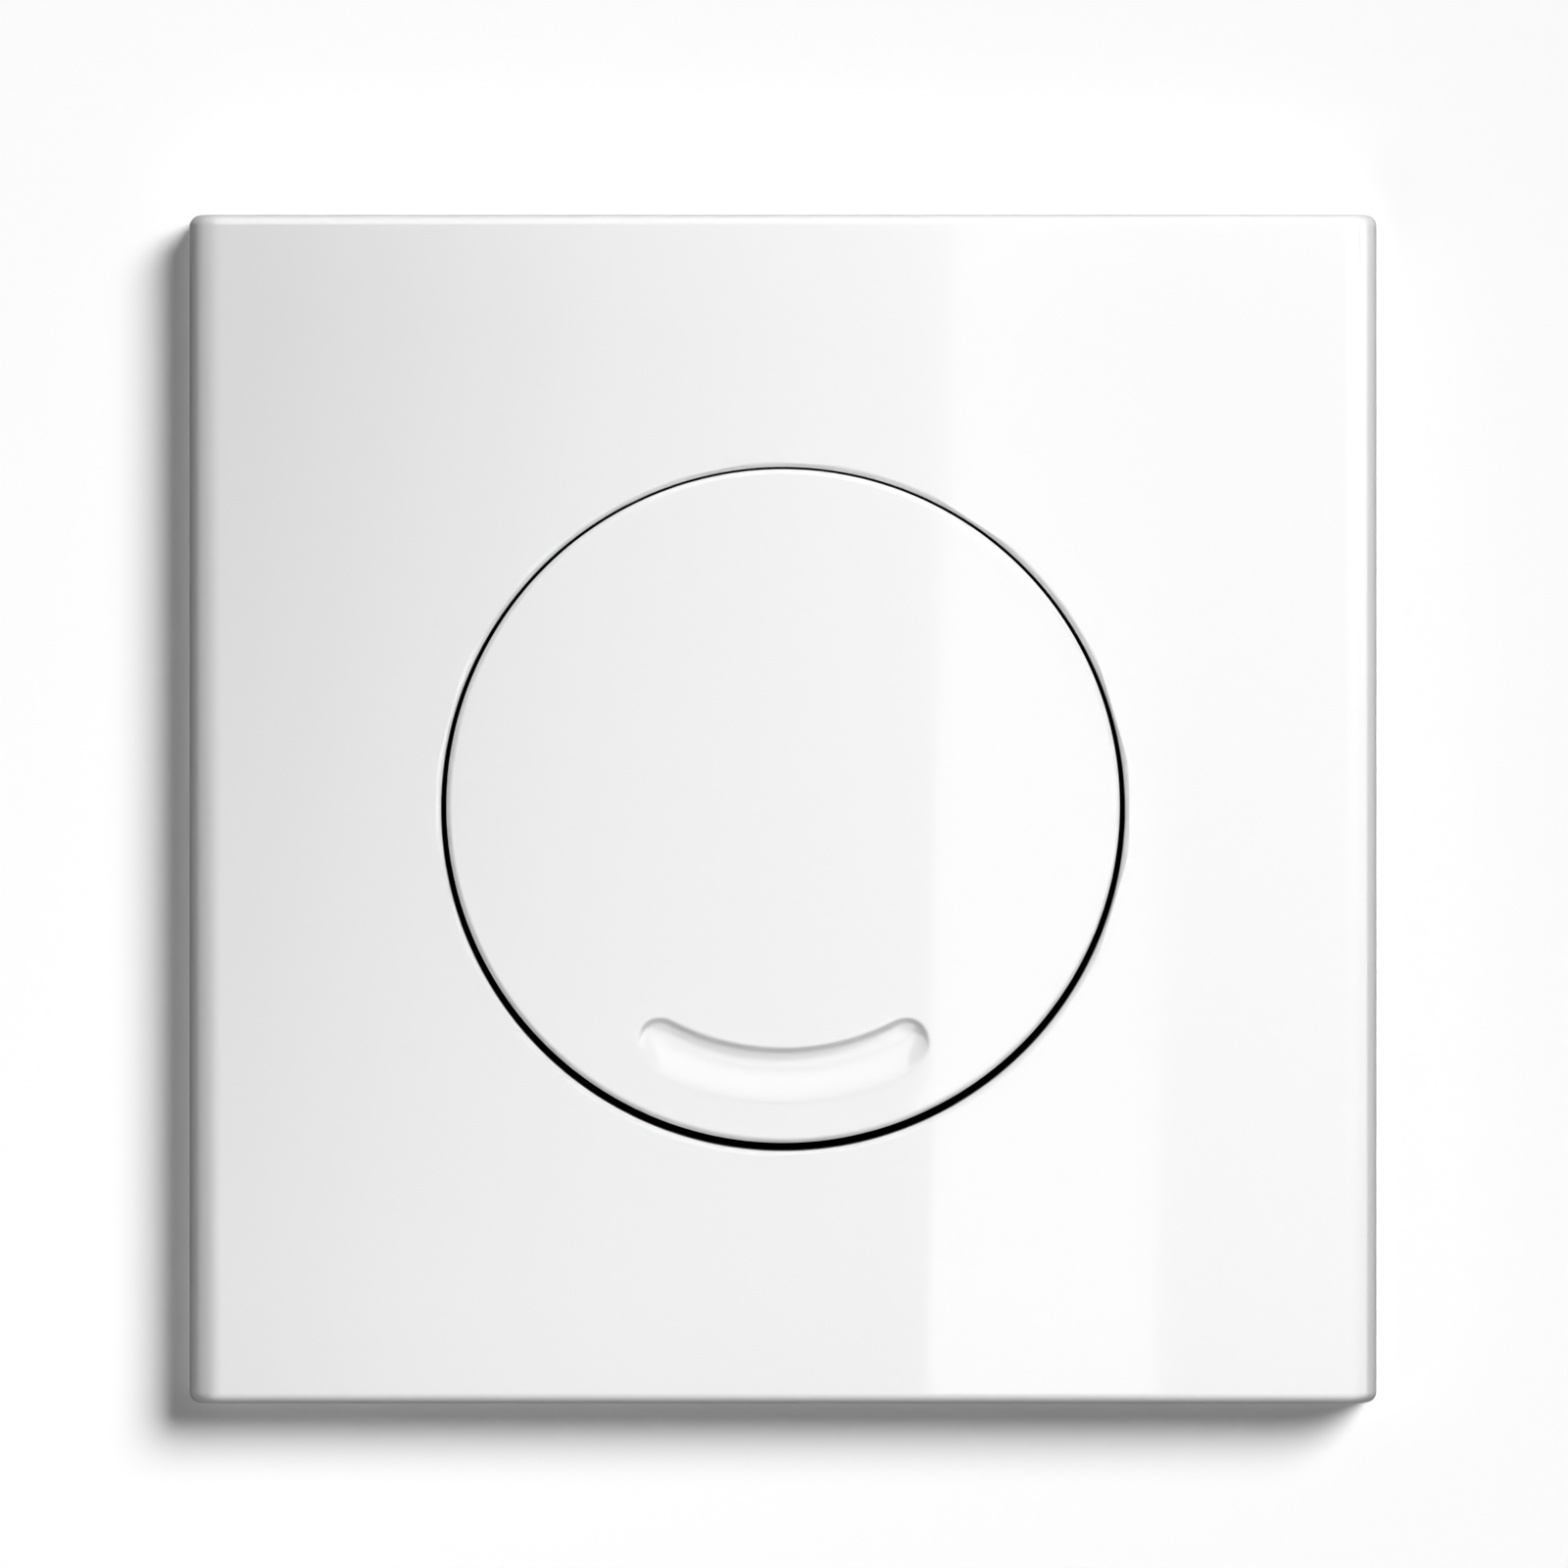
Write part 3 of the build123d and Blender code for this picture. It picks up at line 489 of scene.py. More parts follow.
black_rubber = grained_material(
    "black_rubber", RUBBER_BLACK, RUBBER_BLOOM, RUBBER_ROUGHNESS, RUBBER_GRAIN_SCALE, RUBBER_GRAIN_DEPTH,
    RUBBER_FLOW_SCALE,
)
rod_tip = finish_piece(welded_shape("rod_tip"), "rubber_rod_tip", TIP_EDGE_BREAK)
fit(rod_tip, black_rubber, "rod", "rubber", "rod_tip")

# Buffers
# Two rubber buffers with stems pressed into posts on the frame's bridge.
# They soften the button's end stop.

BUFFER_EDGE_BREAK = 0.4 * MM

for side_name in ("left", "right"):
    buffer_node = side_name + "_buffer"
    buffer = finish_piece(welded_shape(buffer_node), "rubber_" + buffer_node, BUFFER_EDGE_BREAK)
    fit(buffer, black_rubber, "base", "rubber", buffer_node)

# Cover plate
# Gloss white ABS injection moulding that clips onto the mounting frame: sides rolled over a long
# radius, top and bottom edges tight, and a round opening with a softly broken rim.

EDGE_ROUND = 1.5 * MM
SIDE_ROLL = 4.5 * MM
OPENING_RADIUS = 46 * MM
OPENING_ROUND = 0.9 * MM
OPENING_WALL_END = 2.4 * MM
ON_SURFACE = 0.1 * MM
ON_ROLL = 0.01 * MM
REFINE_CUTS = 3
REFINE_TURN = math.radians(3)
ROUND_TURN = math.radians(1)
JOIN_FACE_TURN = math.radians(14)
JOIN_SHAPE_TURN = math.radians(50)
FILL_INSIDE = 1
FILL_WELD = 0.0001 * MM
RIM_RINGS = 10
COVER_EDGE_BREAK = 0.15 * MM
GLOSS_WHITE = (0.85, 0.85, 0.85, 1.0)
GLOSS_LOW = 0.01
GLOSS_HIGH = 0.016
GLOSS_REFRACTION = 1.5
GLOSS_WAVE_DEPTH = 0.05 * MM

plate_low, plate_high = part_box("cover_plate")
plate_half = plate_high[0]
plate_depth = -plate_low[1]
spine_half = plate_half - EDGE_ROUND
spine_front = plate_depth - EDGE_ROUND
spine_roll = SIDE_ROLL - EDGE_ROUND


def cover_spine(x, front, z):
    """The nearest point of the solid that a ball of the edge round rolls over."""
    over_x = abs(x) - (spine_half - spine_roll)
    over_front = front - (spine_front - spine_roll)
    z = min(max(z, -spine_half), spine_half)
    if over_x > 0 and over_front > 0:
        reach = math.hypot(over_x, over_front)
        if reach > spine_roll:
            over_x *= spine_roll / reach
            over_front *= spine_roll / reach
        x = math.copysign(spine_half - spine_roll + over_x, x)
        front = spine_front - spine_roll + over_front
    else:
        x = min(max(x, -spine_half), spine_half)
        front = min(front, spine_front)
    return Vector((x, -front, z))


def on_cover_skin(point):
    """The true point on the cover's outside near a mesh point, or None."""
    spine = cover_spine(point.x, -point.y, point.z)
    away = point - spine
    if abs(away.length - EDGE_ROUND) > ON_SURFACE:
        return None
    return spine + away * (EDGE_ROUND / away.length)


def on_round_wall(point, centre_z, radius, low, high):
    """The true point on a round wall near a mesh point, or None."""
    out = Vector((point.x, 0, point.z - centre_z))
    if abs(out.length - radius) > ON_SURFACE or not low < -point.y < high + WELD:
        return None
    return out * (radius / out.length) + Vector((0, point.y, centre_z))


def refine(shape, true_point, turned):
    """Divides the edges that run round a curve and lays the new points on the true surface."""
    triangles = [
        face for face in shape.faces
        if len(face.verts) == 3 and all(true_point(vert.co) is not None for vert in face.verts)
        and len({round(vert.co.y / WELD) for vert in face.verts}) > 1
    ]
    bmesh.ops.join_triangles(
        shape, faces=triangles, angle_face_threshold=JOIN_FACE_TURN, angle_shape_threshold=JOIN_SHAPE_TURN
    )
    curved = []
    for edge in shape.edges:
        ends = [true_point(vert.co) for vert in edge.verts]
        if None not in ends and turned(*ends):
            curved.append(edge)
    bmesh.ops.subdivide_edges(shape, edges=curved, cuts=REFINE_CUTS, use_grid_fill=True)
    for vert in shape.verts:
        point = true_point(vert.co)
        if point is not None:
            vert.co = point


def refill_front(shape, faces, inside, points=(), depths=()):
    """Lays a front face anew between the edges round the faces that it takes the place of."""
    bmesh.ops.delete(shape, geom=faces, context="FACES")
    rim = [vert for vert in shape.verts if vert.is_boundary]
    rim_place = {vert: i for i, vert in enumerate(rim)}
    rim_edges = [
        tuple(rim_place[vert] for vert in edge.verts) for edge in shape.edges if edge.is_boundary
    ]
    flat = [Vector((vert.co.x, vert.co.z)) for vert in rim] + list(points)
    laid, _, triangles, sources, _, _ = delaunay_2d_cdt(flat, rim_edges, [], FILL_INSIDE, FILL_WELD)
    corners = []
    for point, source in zip(laid, sources):
        if source[0] < len(rim):
            corners.append(rim[source[0]])
        else:
            corners.append(shape.verts.new((point.x, depths[source[0] - len(rim)] - plate_depth, point.y)))
    for triangle in triangles:
        middle = sum((laid[i] for i in triangle), Vector((0, 0))) / 3
        if inside(middle):
            shape.faces.new([corners[i] for i in triangle])


def opening_point(point):
    """The true point on the wall of the cover's opening, or None."""
    return on_round_wall(point, 0.0, OPENING_RADIUS, OPENING_WALL_END, plate_depth - OPENING_ROUND)


def turned_round(centre_z):
    """A test for two points of a round wall that lie apart round its axis."""
    def apart(a, b):
        turns = [math.atan2(point.z - centre_z, point.x) for point in (a, b)]
        return abs((turns[0] - turns[1] + math.pi) % (2 * math.pi) - math.pi) > ROUND_TURN
    return apart


def lay_round_rim(shape, centre_z, wall_radius, round_radius):
    """Lays a rounded rim anew in even rings, from the top of its round wall up to the front."""
    rounding = abs(round_radius - wall_radius)
    round_front = plate_depth - rounding
    low, high = sorted((wall_radius, round_radius))

    def on_rim(vert):
        radius = math.hypot(vert.co.x, vert.co.z - centre_z)
        return -vert.co.y > round_front - WELD and low - ON_SURFACE < radius < high + WELD

    old_rim = [
        face for face in shape.faces
        if all(on_rim(vert) for vert in face.verts)
        and any(-vert.co.y < plate_depth - WELD for vert in face.verts)
    ]
    bmesh.ops.delete(shape, geom=old_rim, context="FACES")
    wall_top = [vert for vert in shape.verts if vert.is_boundary and -vert.co.y < round_front + WELD]
    wall_top.sort(key=lambda vert: math.atan2(vert.co.z - centre_z, vert.co.x))
    below = wall_top
    for step in range(1, RIM_RINGS + 1):
        over = math.pi / 2 * step / RIM_RINGS
        radius = round_radius + (wall_radius - round_radius) * math.cos(over)
        front = round_front + rounding * math.sin(over)
        ring = []
        for vert in wall_top:
            turn = math.atan2(vert.co.z - centre_z, vert.co.x)
            ring.append(shape.verts.new((
                radius * math.cos(turn), -front, centre_z + radius * math.sin(turn)
            )))
        for i in range(len(ring)):
            shape.faces.new((below[i - 1], below[i], ring[i], ring[i - 1]))
        below = ring


def skin_turned(a, b):
    """True where the cover's skin turns between two points, or its end face's outline does."""
    spine_a = cover_spine(a.x, -a.y, a.z)
    spine_b = cover_spine(b.x, -b.y, b.z)
    if (a - spine_a).angle(b - spine_b) > REFINE_TURN:
        return True
    centre = Vector((math.copysign(spine_half - spine_roll, a.x), -(spine_front - spine_roll), 0))
    arms = [Vector((spine.x, spine.y, 0)) - centre for spine in (spine_a, spine_b)]
    rolled = all(abs(arm.length - spine_roll) < ON_ROLL for arm in arms)
    on_ends = abs(a.z) > spine_half and abs(b.z) > spine_half
    return rolled and on_ends and arms[0].angle(arms[1]) > REFINE_TURN


def build_gloss_skin():
    """Roughness and height of polished mould gloss: faint orange peel over a slow sink wave."""
    group, given, put_out = new_group(
        "gloss_skin",
        [
            ("Low Roughness", "NodeSocketFloat", 0.05),
            ("High Roughness", "NodeSocketFloat", 0.09),
            ("Wave Scale", "NodeSocketFloat", 11.0),
            ("Peel Scale", "NodeSocketFloat", 420.0),
            ("Peel Share", "NodeSocketFloat", 0.005),
        ],
        [("Roughness", "NodeSocketFloat"), ("Height", "NodeSocketFloat")],
    )
    place = group.nodes.new("ShaderNodeTexCoord").outputs["Object"]
    wave = noise(group, place, detail=0.0)
    peel = noise(group, place, detail=1.0)
    group.links.new(given.outputs["Wave Scale"], wave.inputs["Scale"])
    group.links.new(given.outputs["Peel Scale"], peel.inputs["Scale"])
    gloss = spread(
        group, peel.outputs["Fac"], given.outputs["Low Roughness"], given.outputs["High Roughness"]
    )
    group.links.new(gloss, put_out.inputs["Roughness"])
    height = group.nodes.new("ShaderNodeMath")
    height.operation = "MULTIPLY_ADD"
    group.links.new(peel.outputs["Fac"], height.inputs[0])
    group.links.new(given.outputs["Peel Share"], height.inputs[1])
    group.links.new(wave.outputs["Fac"], height.inputs[2])
    group.links.new(height.outputs["Value"], put_out.inputs["Height"])
    return group


gloss_skin = build_gloss_skin()
gloss_white, gloss_shader = new_material("gloss_white_abs")
gloss_shader.inputs["Base Color"].default_value = GLOSS_WHITE
gloss_shader.inputs["IOR"].default_value = GLOSS_REFRACTION
polish = place_group(gloss_white, gloss_skin, {"Low Roughness": GLOSS_LOW, "High Roughness": GLOSS_HIGH})
gloss_white.node_tree.links.new(polish.outputs["Roughness"], gloss_shader.inputs["Roughness"])
raise_height(gloss_white, gloss_shader, polish.outputs["Height"], GLOSS_WAVE_DEPTH)

cover_shape = welded_shape("cover_plate")
refine(cover_shape, on_cover_skin, skin_turned)
refine(cover_shape, opening_point, turned_round(0.0))
lay_round_rim(cover_shape, 0.0, OPENING_RADIUS, OPENING_RADIUS + OPENING_ROUND)
front_faces = [
    face for face in cover_shape.faces if all(abs(vert.co.y + plate_depth) < WELD for vert in face.verts)
]
refill_front(cover_shape, front_faces, lambda point: point.length > OPENING_RADIUS + OPENING_ROUND / 2)
cover_plate = finish_piece(cover_shape, "gloss_cover_plate", COVER_EDGE_BREAK)
fit(cover_plate, gloss_white, "base", "gloss_white", "cover_plate")

# Hinge pins
# Two short pins of ground steel with chamfered ends, pressed into the cover's ears.
# The rocker's lugs turn on them.

PIN_EDGE_BREAK = 0.3 * MM
PIN_STEEL = (0.58, 0.58, 0.58, 1.0)
PIN_STEEL_BRIGHT = (0.66, 0.66, 0.66, 1.0)
PIN_ROUGHNESS = (0.14, 0.24)
PIN_MARK_DEPTH = 0.003 * MM
PIN_SPANGLE_SCALE = 1500.0

pin_steel = steel_material(
    "ground_pin_steel", PIN_STEEL, PIN_STEEL_BRIGHT, PIN_ROUGHNESS, PIN_MARK_DEPTH, PIN_SPANGLE_SCALE
)
for side_name in ("left", "right"):
    pin_node = side_name + "_hinge_pin"
    pin = finish_piece(welded_shape(pin_node), "ground_" + pin_node, PIN_EDGE_BREAK)
    fit(pin, pin_steel, "base", "pin_steel", pin_node)

# Button rocker
# Pale grey ABS lever behind the button, with hinge lugs at the top, a pusher nose over the rod's
# head and two pads that meet the buffers. The button's stakes hold it.

ROCKER_EDGE_BREAK = 0.18 * MM
ROCKER_GREY = (0.60, 0.61, 0.62, 1.0)
ROCKER_GREY_PALE = (0.65, 0.66, 0.67, 1.0)
ROCKER_ROUGHNESS = (0.34, 0.46)
ROCKER_GRAIN_SCALE = 2600.0
ROCKER_GRAIN_DEPTH = 0.012 * MM

rocker_plastic = grained_material(
    "rocker_abs", ROCKER_GREY, ROCKER_GREY_PALE, ROCKER_ROUGHNESS, ROCKER_GRAIN_SCALE, ROCKER_GRAIN_DEPTH
)
button_rocker = finish_piece(welded_shape("button_rocker"), "moulded_button_rocker", ROCKER_EDGE_BREAK)
fit(button_rocker, rocker_plastic, "button", "rocker_plastic", "button_rocker")

# Flush button
# Gloss white ABS cap, flush with the plate, with a finger recess moulded into its lower part:
# a steep wall above and at both ends, and a floor that runs out softly into the face below.

BUTTON_RADIUS = 45.3 * MM
BUTTON_CENTRE_Z = 0.4 * MM
BUTTON_ROUND = 0.8 * MM
BUTTON_WALL_END = 3.4 * MM
BUTTON_EDGE_BREAK = 0.12 * MM
RECESS_DEPTH = 1.4 * MM
RECESS_TOP = 31.95 * MM
RECESS_RAMP = (35.3 * MM, 40.2 * MM)
RECESS_HALF_ANGLE = math.radians(33.6)
RECESS_CORNER = 3.5 * MM
RECESS_LOW_CORNER = 4.5 * MM
RECESS_END_ROUND = 4.2 * MM
RECESS_END_START = 35.45 * MM
RECESS_WALL_MIDDLE = 0.95 * MM
RECESS_WALL_SOFTNESS = 0.25 * MM
RECESS_FRONT_LIMIT = 8.8 * MM
RECESS_GRID_RADII = (
    (31.2 * MM, 0), (31.9 * MM, 0.35 * MM), (34.3 * MM, 0.1 * MM), (40.9 * MM, 0.3 * MM),
    (41.4 * MM, 0.25 * MM),
)
RECESS_GRID_DEGREES = ((-35.4, 0), (-34.4, 0.5), (-27.6, 0.2), (27.6, 0.8), (34.4, 0.2), (35.4, 0.5))


def button_point(point):
    """The true point on the button's round wall, or None."""
    wall_front = plate_depth - BUTTON_ROUND
    return on_round_wall(point, BUTTON_CENTRE_Z, BUTTON_RADIUS, BUTTON_WALL_END, wall_front)


def recess_depth(radius, angle):
    """Depth of the finger recess at a radius and an angle from straight down."""
    from_top = radius - RECESS_TOP
    from_end = (RECESS_HALF_ANGLE - abs(angle)) * radius
    past = min(max(radius - RECESS_END_START, 0.0), RECESS_END_ROUND)
    from_end -= RECESS_END_ROUND - math.sqrt(RECESS_END_ROUND ** 2 - past ** 2)
    inner = (RECESS_CORNER - from_top, RECESS_CORNER - from_end)
    if inner[0] > 0 and inner[1] > 0:
        inside = RECESS_CORNER - math.hypot(*inner)
    else:
        inside = min(from_top, from_end)
    wall = 0.5 + 0.5 * math.tanh((inside - RECESS_WALL_MIDDLE) / RECESS_WALL_SOFTNESS)
    short = RECESS_LOW_CORNER - min(max(from_end, 0.0), RECESS_LOW_CORNER)
    curl = RECESS_LOW_CORNER - math.sqrt(RECESS_LOW_CORNER ** 2 - short ** 2)
    run_out = (RECESS_RAMP[1] - curl - radius) / (RECESS_RAMP[1] - RECESS_RAMP[0])
    run_out = min(max(run_out, 0.0), 1.0)
    return RECESS_DEPTH * wall * run_out * run_out * (3 - 2 * run_out)


def stepped(stops):
    """Values from stop to stop: pairs of an end value and the step that leads to it."""
    values = [stops[0][0]]
    for end, step in stops[1:]:
        start = values[-1]
        count = max(1, round((end - start) / step))
        values += [start + (end - start) * (i + 1) / count for i in range(count)]
    return values


button_shape = welded_shape("flush_button")
refine(button_shape, button_point, turned_round(BUTTON_CENTRE_Z))
lay_round_rim(button_shape, BUTTON_CENTRE_Z, BUTTON_RADIUS, BUTTON_RADIUS - BUTTON_ROUND)
front_faces = [
    face for face in button_shape.faces
    if all(
        -vert.co.y > RECESS_FRONT_LIMIT
        and math.hypot(vert.co.x, vert.co.z - BUTTON_CENTRE_Z) < BUTTON_RADIUS - BUTTON_ROUND + WELD
        for vert in face.verts
    )
]
recess_points, recess_depths = [], []
for radius in stepped(RECESS_GRID_RADII):
    for degrees in stepped(RECESS_GRID_DEGREES):
        angle = math.radians(degrees)
        down = radius * math.cos(angle)
        recess_points.append(Vector((radius * math.sin(angle), BUTTON_CENTRE_Z - down)))
        recess_depths.append(recess_depth(radius, angle))
refill_front(button_shape, front_faces, lambda point: True, recess_points, recess_depths)
flush_button = finish_piece(button_shape, "gloss_flush_button", BUTTON_EDGE_BREAK)
fit(flush_button, gloss_white, "button", "gloss_white", "flush_button")

# Wall, floor and background
# A plain white wall that the plate lies on, open behind the plate as a real one is, and a pale
# floor below it. Both are seen from their front side only.

WALL_Y = 0.3 * MM
WALL_REACH = 2.5
WALL_OPENING = 79 * MM
FLOOR_Z = -0.6
SQUARE = ((-1, -1), (1, -1), (1, 1), (-1, 1))
STUDIO_WHITE = 0.93
STUDIO_WHITE_IN_GLOSS = 0.33
STUDIO_ROUGHNESS = 0.9
STUDIO_SPECULAR = 0.1
# The black ring of painted shade in the gap round the button.
SHADE_RING_FRONT = 4.8 * MM
SHADE_RING_LEAN = 0.038
SHADE_RING_REACH = 46.3 * MM
SHADE_RING_CLEARANCE = 0.03 * MM
SHADE_RING_STEPS = 360
SKY_SEEN = 0.95
SKY_LIGHT = 0.07
# The cone straight behind the wall where the seen sky is painted dark, as shade of the wall shaft.
SHAFT_SHADE_NARROW = math.cos(math.radians(10))
SHAFT_SHADE_WIDE = math.cos(math.radians(18))


def clear_from_behind(material, shader):
    """Makes a studio sheet clear to the camera where it looks at the sheet's back."""
    nodes, links = material.node_tree.nodes, material.node_tree.links
    clear = nodes.new("ShaderNodeBsdfTransparent")
    choose = nodes.new("ShaderNodeMixShader")
    seen_back = nodes.new("ShaderNodeMath")
    seen_back.operation = "MULTIPLY"
    links.new(nodes.new("ShaderNodeNewGeometry").outputs["Backfacing"], seen_back.inputs[0])
    links.new(nodes.new("ShaderNodeLightPath").outputs["Is Camera Ray"], seen_back.inputs[1])
    links.new(seen_back.outputs["Value"], choose.inputs["Fac"])
    links.new(shader.outputs["BSDF"], choose.inputs[1])
    links.new(clear.outputs["BSDF"], choose.inputs[2])
    links.new(choose.outputs["Shader"], nodes["Material Output"].inputs["Surface"])


def one_sided_white(name):
    """A matt white, dimmer where it shows in gloss, that the camera sees through from behind."""
    material, shader = new_material(name)
    in_gloss = material.node_tree.nodes.new("ShaderNodeMapRange")
    in_gloss.inputs["To Min"].default_value = STUDIO_WHITE
    in_gloss.inputs["To Max"].default_value = STUDIO_WHITE_IN_GLOSS
    path = material.node_tree.nodes.new("ShaderNodeLightPath")
    material.node_tree.links.new(path.outputs["Is Glossy Ray"], in_gloss.inputs["Value"])
    material.node_tree.links.new(in_gloss.outputs["Result"], shader.inputs["Base Color"])
    shader.inputs["Roughness"].default_value = STUDIO_ROUGHNESS
    shader.inputs["Specular IOR Level"].default_value = STUDIO_SPECULAR
    clear_from_behind(material, shader)
    return material


def plain_sheet(name, corners, faces, material):
    """A flat mesh that belongs to the set and not to the part."""
    mesh = bpy.data.meshes.new(name)
    mesh.from_pydata(corners, [], faces)
    mesh.materials.append(material)
    sheet = bpy.data.objects.new(name, mesh)
    bpy.context.scene.collection.objects.link(sheet)
    return sheet


matt_white = one_sided_white("studio_white")
wall_corners = []
for reach in (WALL_REACH, WALL_OPENING):
    wall_corners += [(x * reach, WALL_Y, z * reach) for x, z in SQUARE]
wall_faces = [(i, (i + 1) % 4, (i + 1) % 4 + 4, i + 4) for i in range(4)]
wall = plain_sheet("studio_wall", wall_corners, wall_faces, matt_white)
floor_corners = [(x * WALL_REACH, y * WALL_REACH, FLOOR_Z) for x, y in SQUARE]
floor = plain_sheet("studio_floor", floor_corners, [(0, 1, 2, 3)], matt_white)

# The lamps are set without light thrown back by these sheets, so matt surfaces don't see them.
for sheet in (wall, floor):
    sheet.visible_diffuse = False
floor.visible_glossy = False

# Painted shade: a black sheet that stands for the unlit wall shaft, as the eye meets it through the
# narrow gap round the button. It lies deeper below, where the pressed button goes in.
shaft_shade_material, shaft_shade_shader = new_material("painted_shaft_shade")
shaft_shade_shader.inputs["Base Color"].default_value = (0, 0, 0, 1)
shaft_shade_shader.inputs["Roughness"].default_value = 1.0
shaft_shade_shader.inputs["Specular IOR Level"].default_value = 0.0
clear_from_behind(shaft_shade_material, shaft_shade_shader)
shade_ring_corners = []
for step in range(SHADE_RING_STEPS):
    turn = 2 * math.pi * step / SHADE_RING_STEPS
    for radius, centre_z in ((BUTTON_RADIUS + SHADE_RING_CLEARANCE, BUTTON_CENTRE_Z), (SHADE_RING_REACH, 0.0)):
        z = centre_z + radius * math.sin(turn)
        shade_ring_corners.append((radius * math.cos(turn), -SHADE_RING_FRONT - SHADE_RING_LEAN * z, z))
shade_ring_faces = []
for step in range(SHADE_RING_STEPS):
    here, there = 2 * step, 2 * ((step + 1) % SHADE_RING_STEPS)
    shade_ring_faces.append((here, here + 1, there + 1, there))
plain_sheet("painted_shaft_shade_ring", shade_ring_corners, shade_ring_faces, shaft_shade_material)

# The sky is bright where it is seen and weak where it lights; straight behind the wall it is painted dark.
world = bpy.data.worlds.new("studio")
bpy.context.scene.world = world
world.use_nodes = True
world_nodes, world_links = world.node_tree.nodes, world.node_tree.links
soft_sky = world_nodes["Background"]
soft_sky.inputs["Color"].default_value = (1, 1, 1, 1)
soft_sky.inputs["Strength"].default_value = SKY_LIGHT
seen_sky = world_nodes.new("ShaderNodeBackground")
seen_sky.inputs["Strength"].default_value = SKY_SEEN
heading = world_nodes.new("ShaderNodeSeparateXYZ")
world_links.new(world_nodes.new("ShaderNodeTexCoord").outputs["Generated"], heading.inputs["Vector"])
# Painted shade: a narrow cone of the seen sky straight behind the wall goes dark.
shaft = world_nodes.new("ShaderNodeMapRange")
shaft.interpolation_type = "SMOOTHSTEP"
shaft.inputs["From Min"].default_value = SHAFT_SHADE_WIDE
shaft.inputs["From Max"].default_value = SHAFT_SHADE_NARROW
shaft.inputs["To Min"].default_value = 1.0
shaft.inputs["To Max"].default_value = 0.0
world_links.new(heading.outputs["Y"], shaft.inputs["Value"])
world_links.new(shaft.outputs["Result"], seen_sky.inputs["Color"])
ray = world_nodes.new("ShaderNodeLightPath")
camera_or_glossy = world_nodes.new("ShaderNodeMath")
camera_or_glossy.operation = "MAXIMUM"
world_links.new(ray.outputs["Is Camera Ray"], camera_or_glossy.inputs[0])
world_links.new(ray.outputs["Is Glossy Ray"], camera_or_glossy.inputs[1])
seen = world_nodes.new("ShaderNodeMath")
seen.operation = "MAXIMUM"
world_links.new(camera_or_glossy.outputs["Value"], seen.inputs[0])
world_links.new(ray.outputs["Is Transmission Ray"], seen.inputs[1])
sky_choice = world_nodes.new("ShaderNodeMixShader")
world_links.new(seen.outputs["Value"], sky_choice.inputs["Fac"])
world_links.new(soft_sky.outputs["Background"], sky_choice.inputs[1])
world_links.new(seen_sky.outputs["Background"], sky_choice.inputs[2])
world_links.new(sky_choice.outputs["Shader"], world_nodes["World Output"].inputs["Surface"])

# Lamps
# Soft boxes at the right and above light the part, with a weak fill from below left. Cards that show
# in gloss alone give the graded reflection, its step and the light along the plate's edges. The wall
# and the floor have washes of their own, and soft boxes behind the wall light the mechanism.

PLATE_MIDDLE = (0, 0, 0)
KEY_PLACE = (0.155, -0.36, 0.14)
KEY_SIZE = (0.15, 0.56)
KEY_POWER = 1.0
TOP_PLACE = (0.3, -0.7, 0.85)
TOP_SIZE = (0.4, 0.3)
TOP_POWER = 7.4
FILL_PLACE = (-0.33, -0.5, -0.36)
FILL_SIZE = (0.3, 0.3)
FILL_POWER = 0.55
CARD_Y = -1.8
CARD_X = (-0.2, 0.2)
CARD_Z = (-0.23, 0.22)
CARD_GRADED_Z = (-0.15, 0.136)
CARD_LEAN = -0.02
CARD_BRIGHTNESS = 7.5
# Tones are pairs of a place across the card, in metres, and a grey.
CARD_TONES_TOP = ((-0.16, 0.02), (-0.05, 0.33), (0.0443, 0.42), (0.0477, 0.59), (0.11, 0.42), (0.2, 0.3))
CARD_TONES_BOTTOM = (
    (-0.16, 0.61), (-0.115, 0.73), (-0.05, 0.77), (0.0443, 0.69), (0.0477, 1.0), (0.11, 0.93), (0.114, 0.73),
    (0.2, 0.68),
)
OUTER_CARD_Y = -1.85
OUTER_CARD_X = (-3.0, 3.0)
OUTER_CARD_Z = (-3.0, 0.22)
OUTER_TONES_TOP = ((-3.0, 0.02), (-0.2, 0.02), (0.2, 0.32), (0.6, 0.5), (3.0, 0.6))
OUTER_TONES_BOTTOM = ((-3.0, 0.02), (-1.5, 0.17), (-0.2, 0.6), (0.2, 0.68), (3.0, 0.6))
TOP_CARD_Y = -1.75
TOP_CARD_X = (-1.0, 1.0)
TOP_CARD_Z = (0.21, 2.2)
TOP_CARD_BRIGHTNESS = 3.7
SIDE_CARD_X = 3.0
SIDE_CARD_Y = (-1.8, -0.1)
SIDE_CARD_Z = (-1.5, 1.5)
SIDE_CARD_BRIGHTNESS = 4.5
LEVEL_CARD_X = (-1.0, 1.0)
OVERHEAD_CARD_Z = 2.2
OVERHEAD_CARD_Y = (-1.75, -0.2)
OVERHEAD_CARD_BRIGHTNESS = 3.5
LOW_CARD_Z = -1.2
LOW_CARD_Y = (-0.9, -0.1)
LOW_CARD_BRIGHTNESS = 2.5
WASH_STRENGTH = 3.9
WASH_SPREAD = math.radians(31)
WASH_FROM = (0.76, -1.0, 0.62)
FLOOR_WASH_STRENGTH = 2.4
FLOOR_WASH_FROM = (0.1, -0.2, 1.0)
REAR_PLACES = ((0.7, 0.8, 0.55), (-0.75, 0.75, 0.25))
REAR_AIM = (0, 0.02, 0)
REAR_SIZE = (0.6, 0.6)
REAR_POWER = 5.6
EDGE_PLACE = (-0.1, 1.0, 0.3)
EDGE_SIZE = (0.9, 0.4)
EDGE_POWER = 5.0


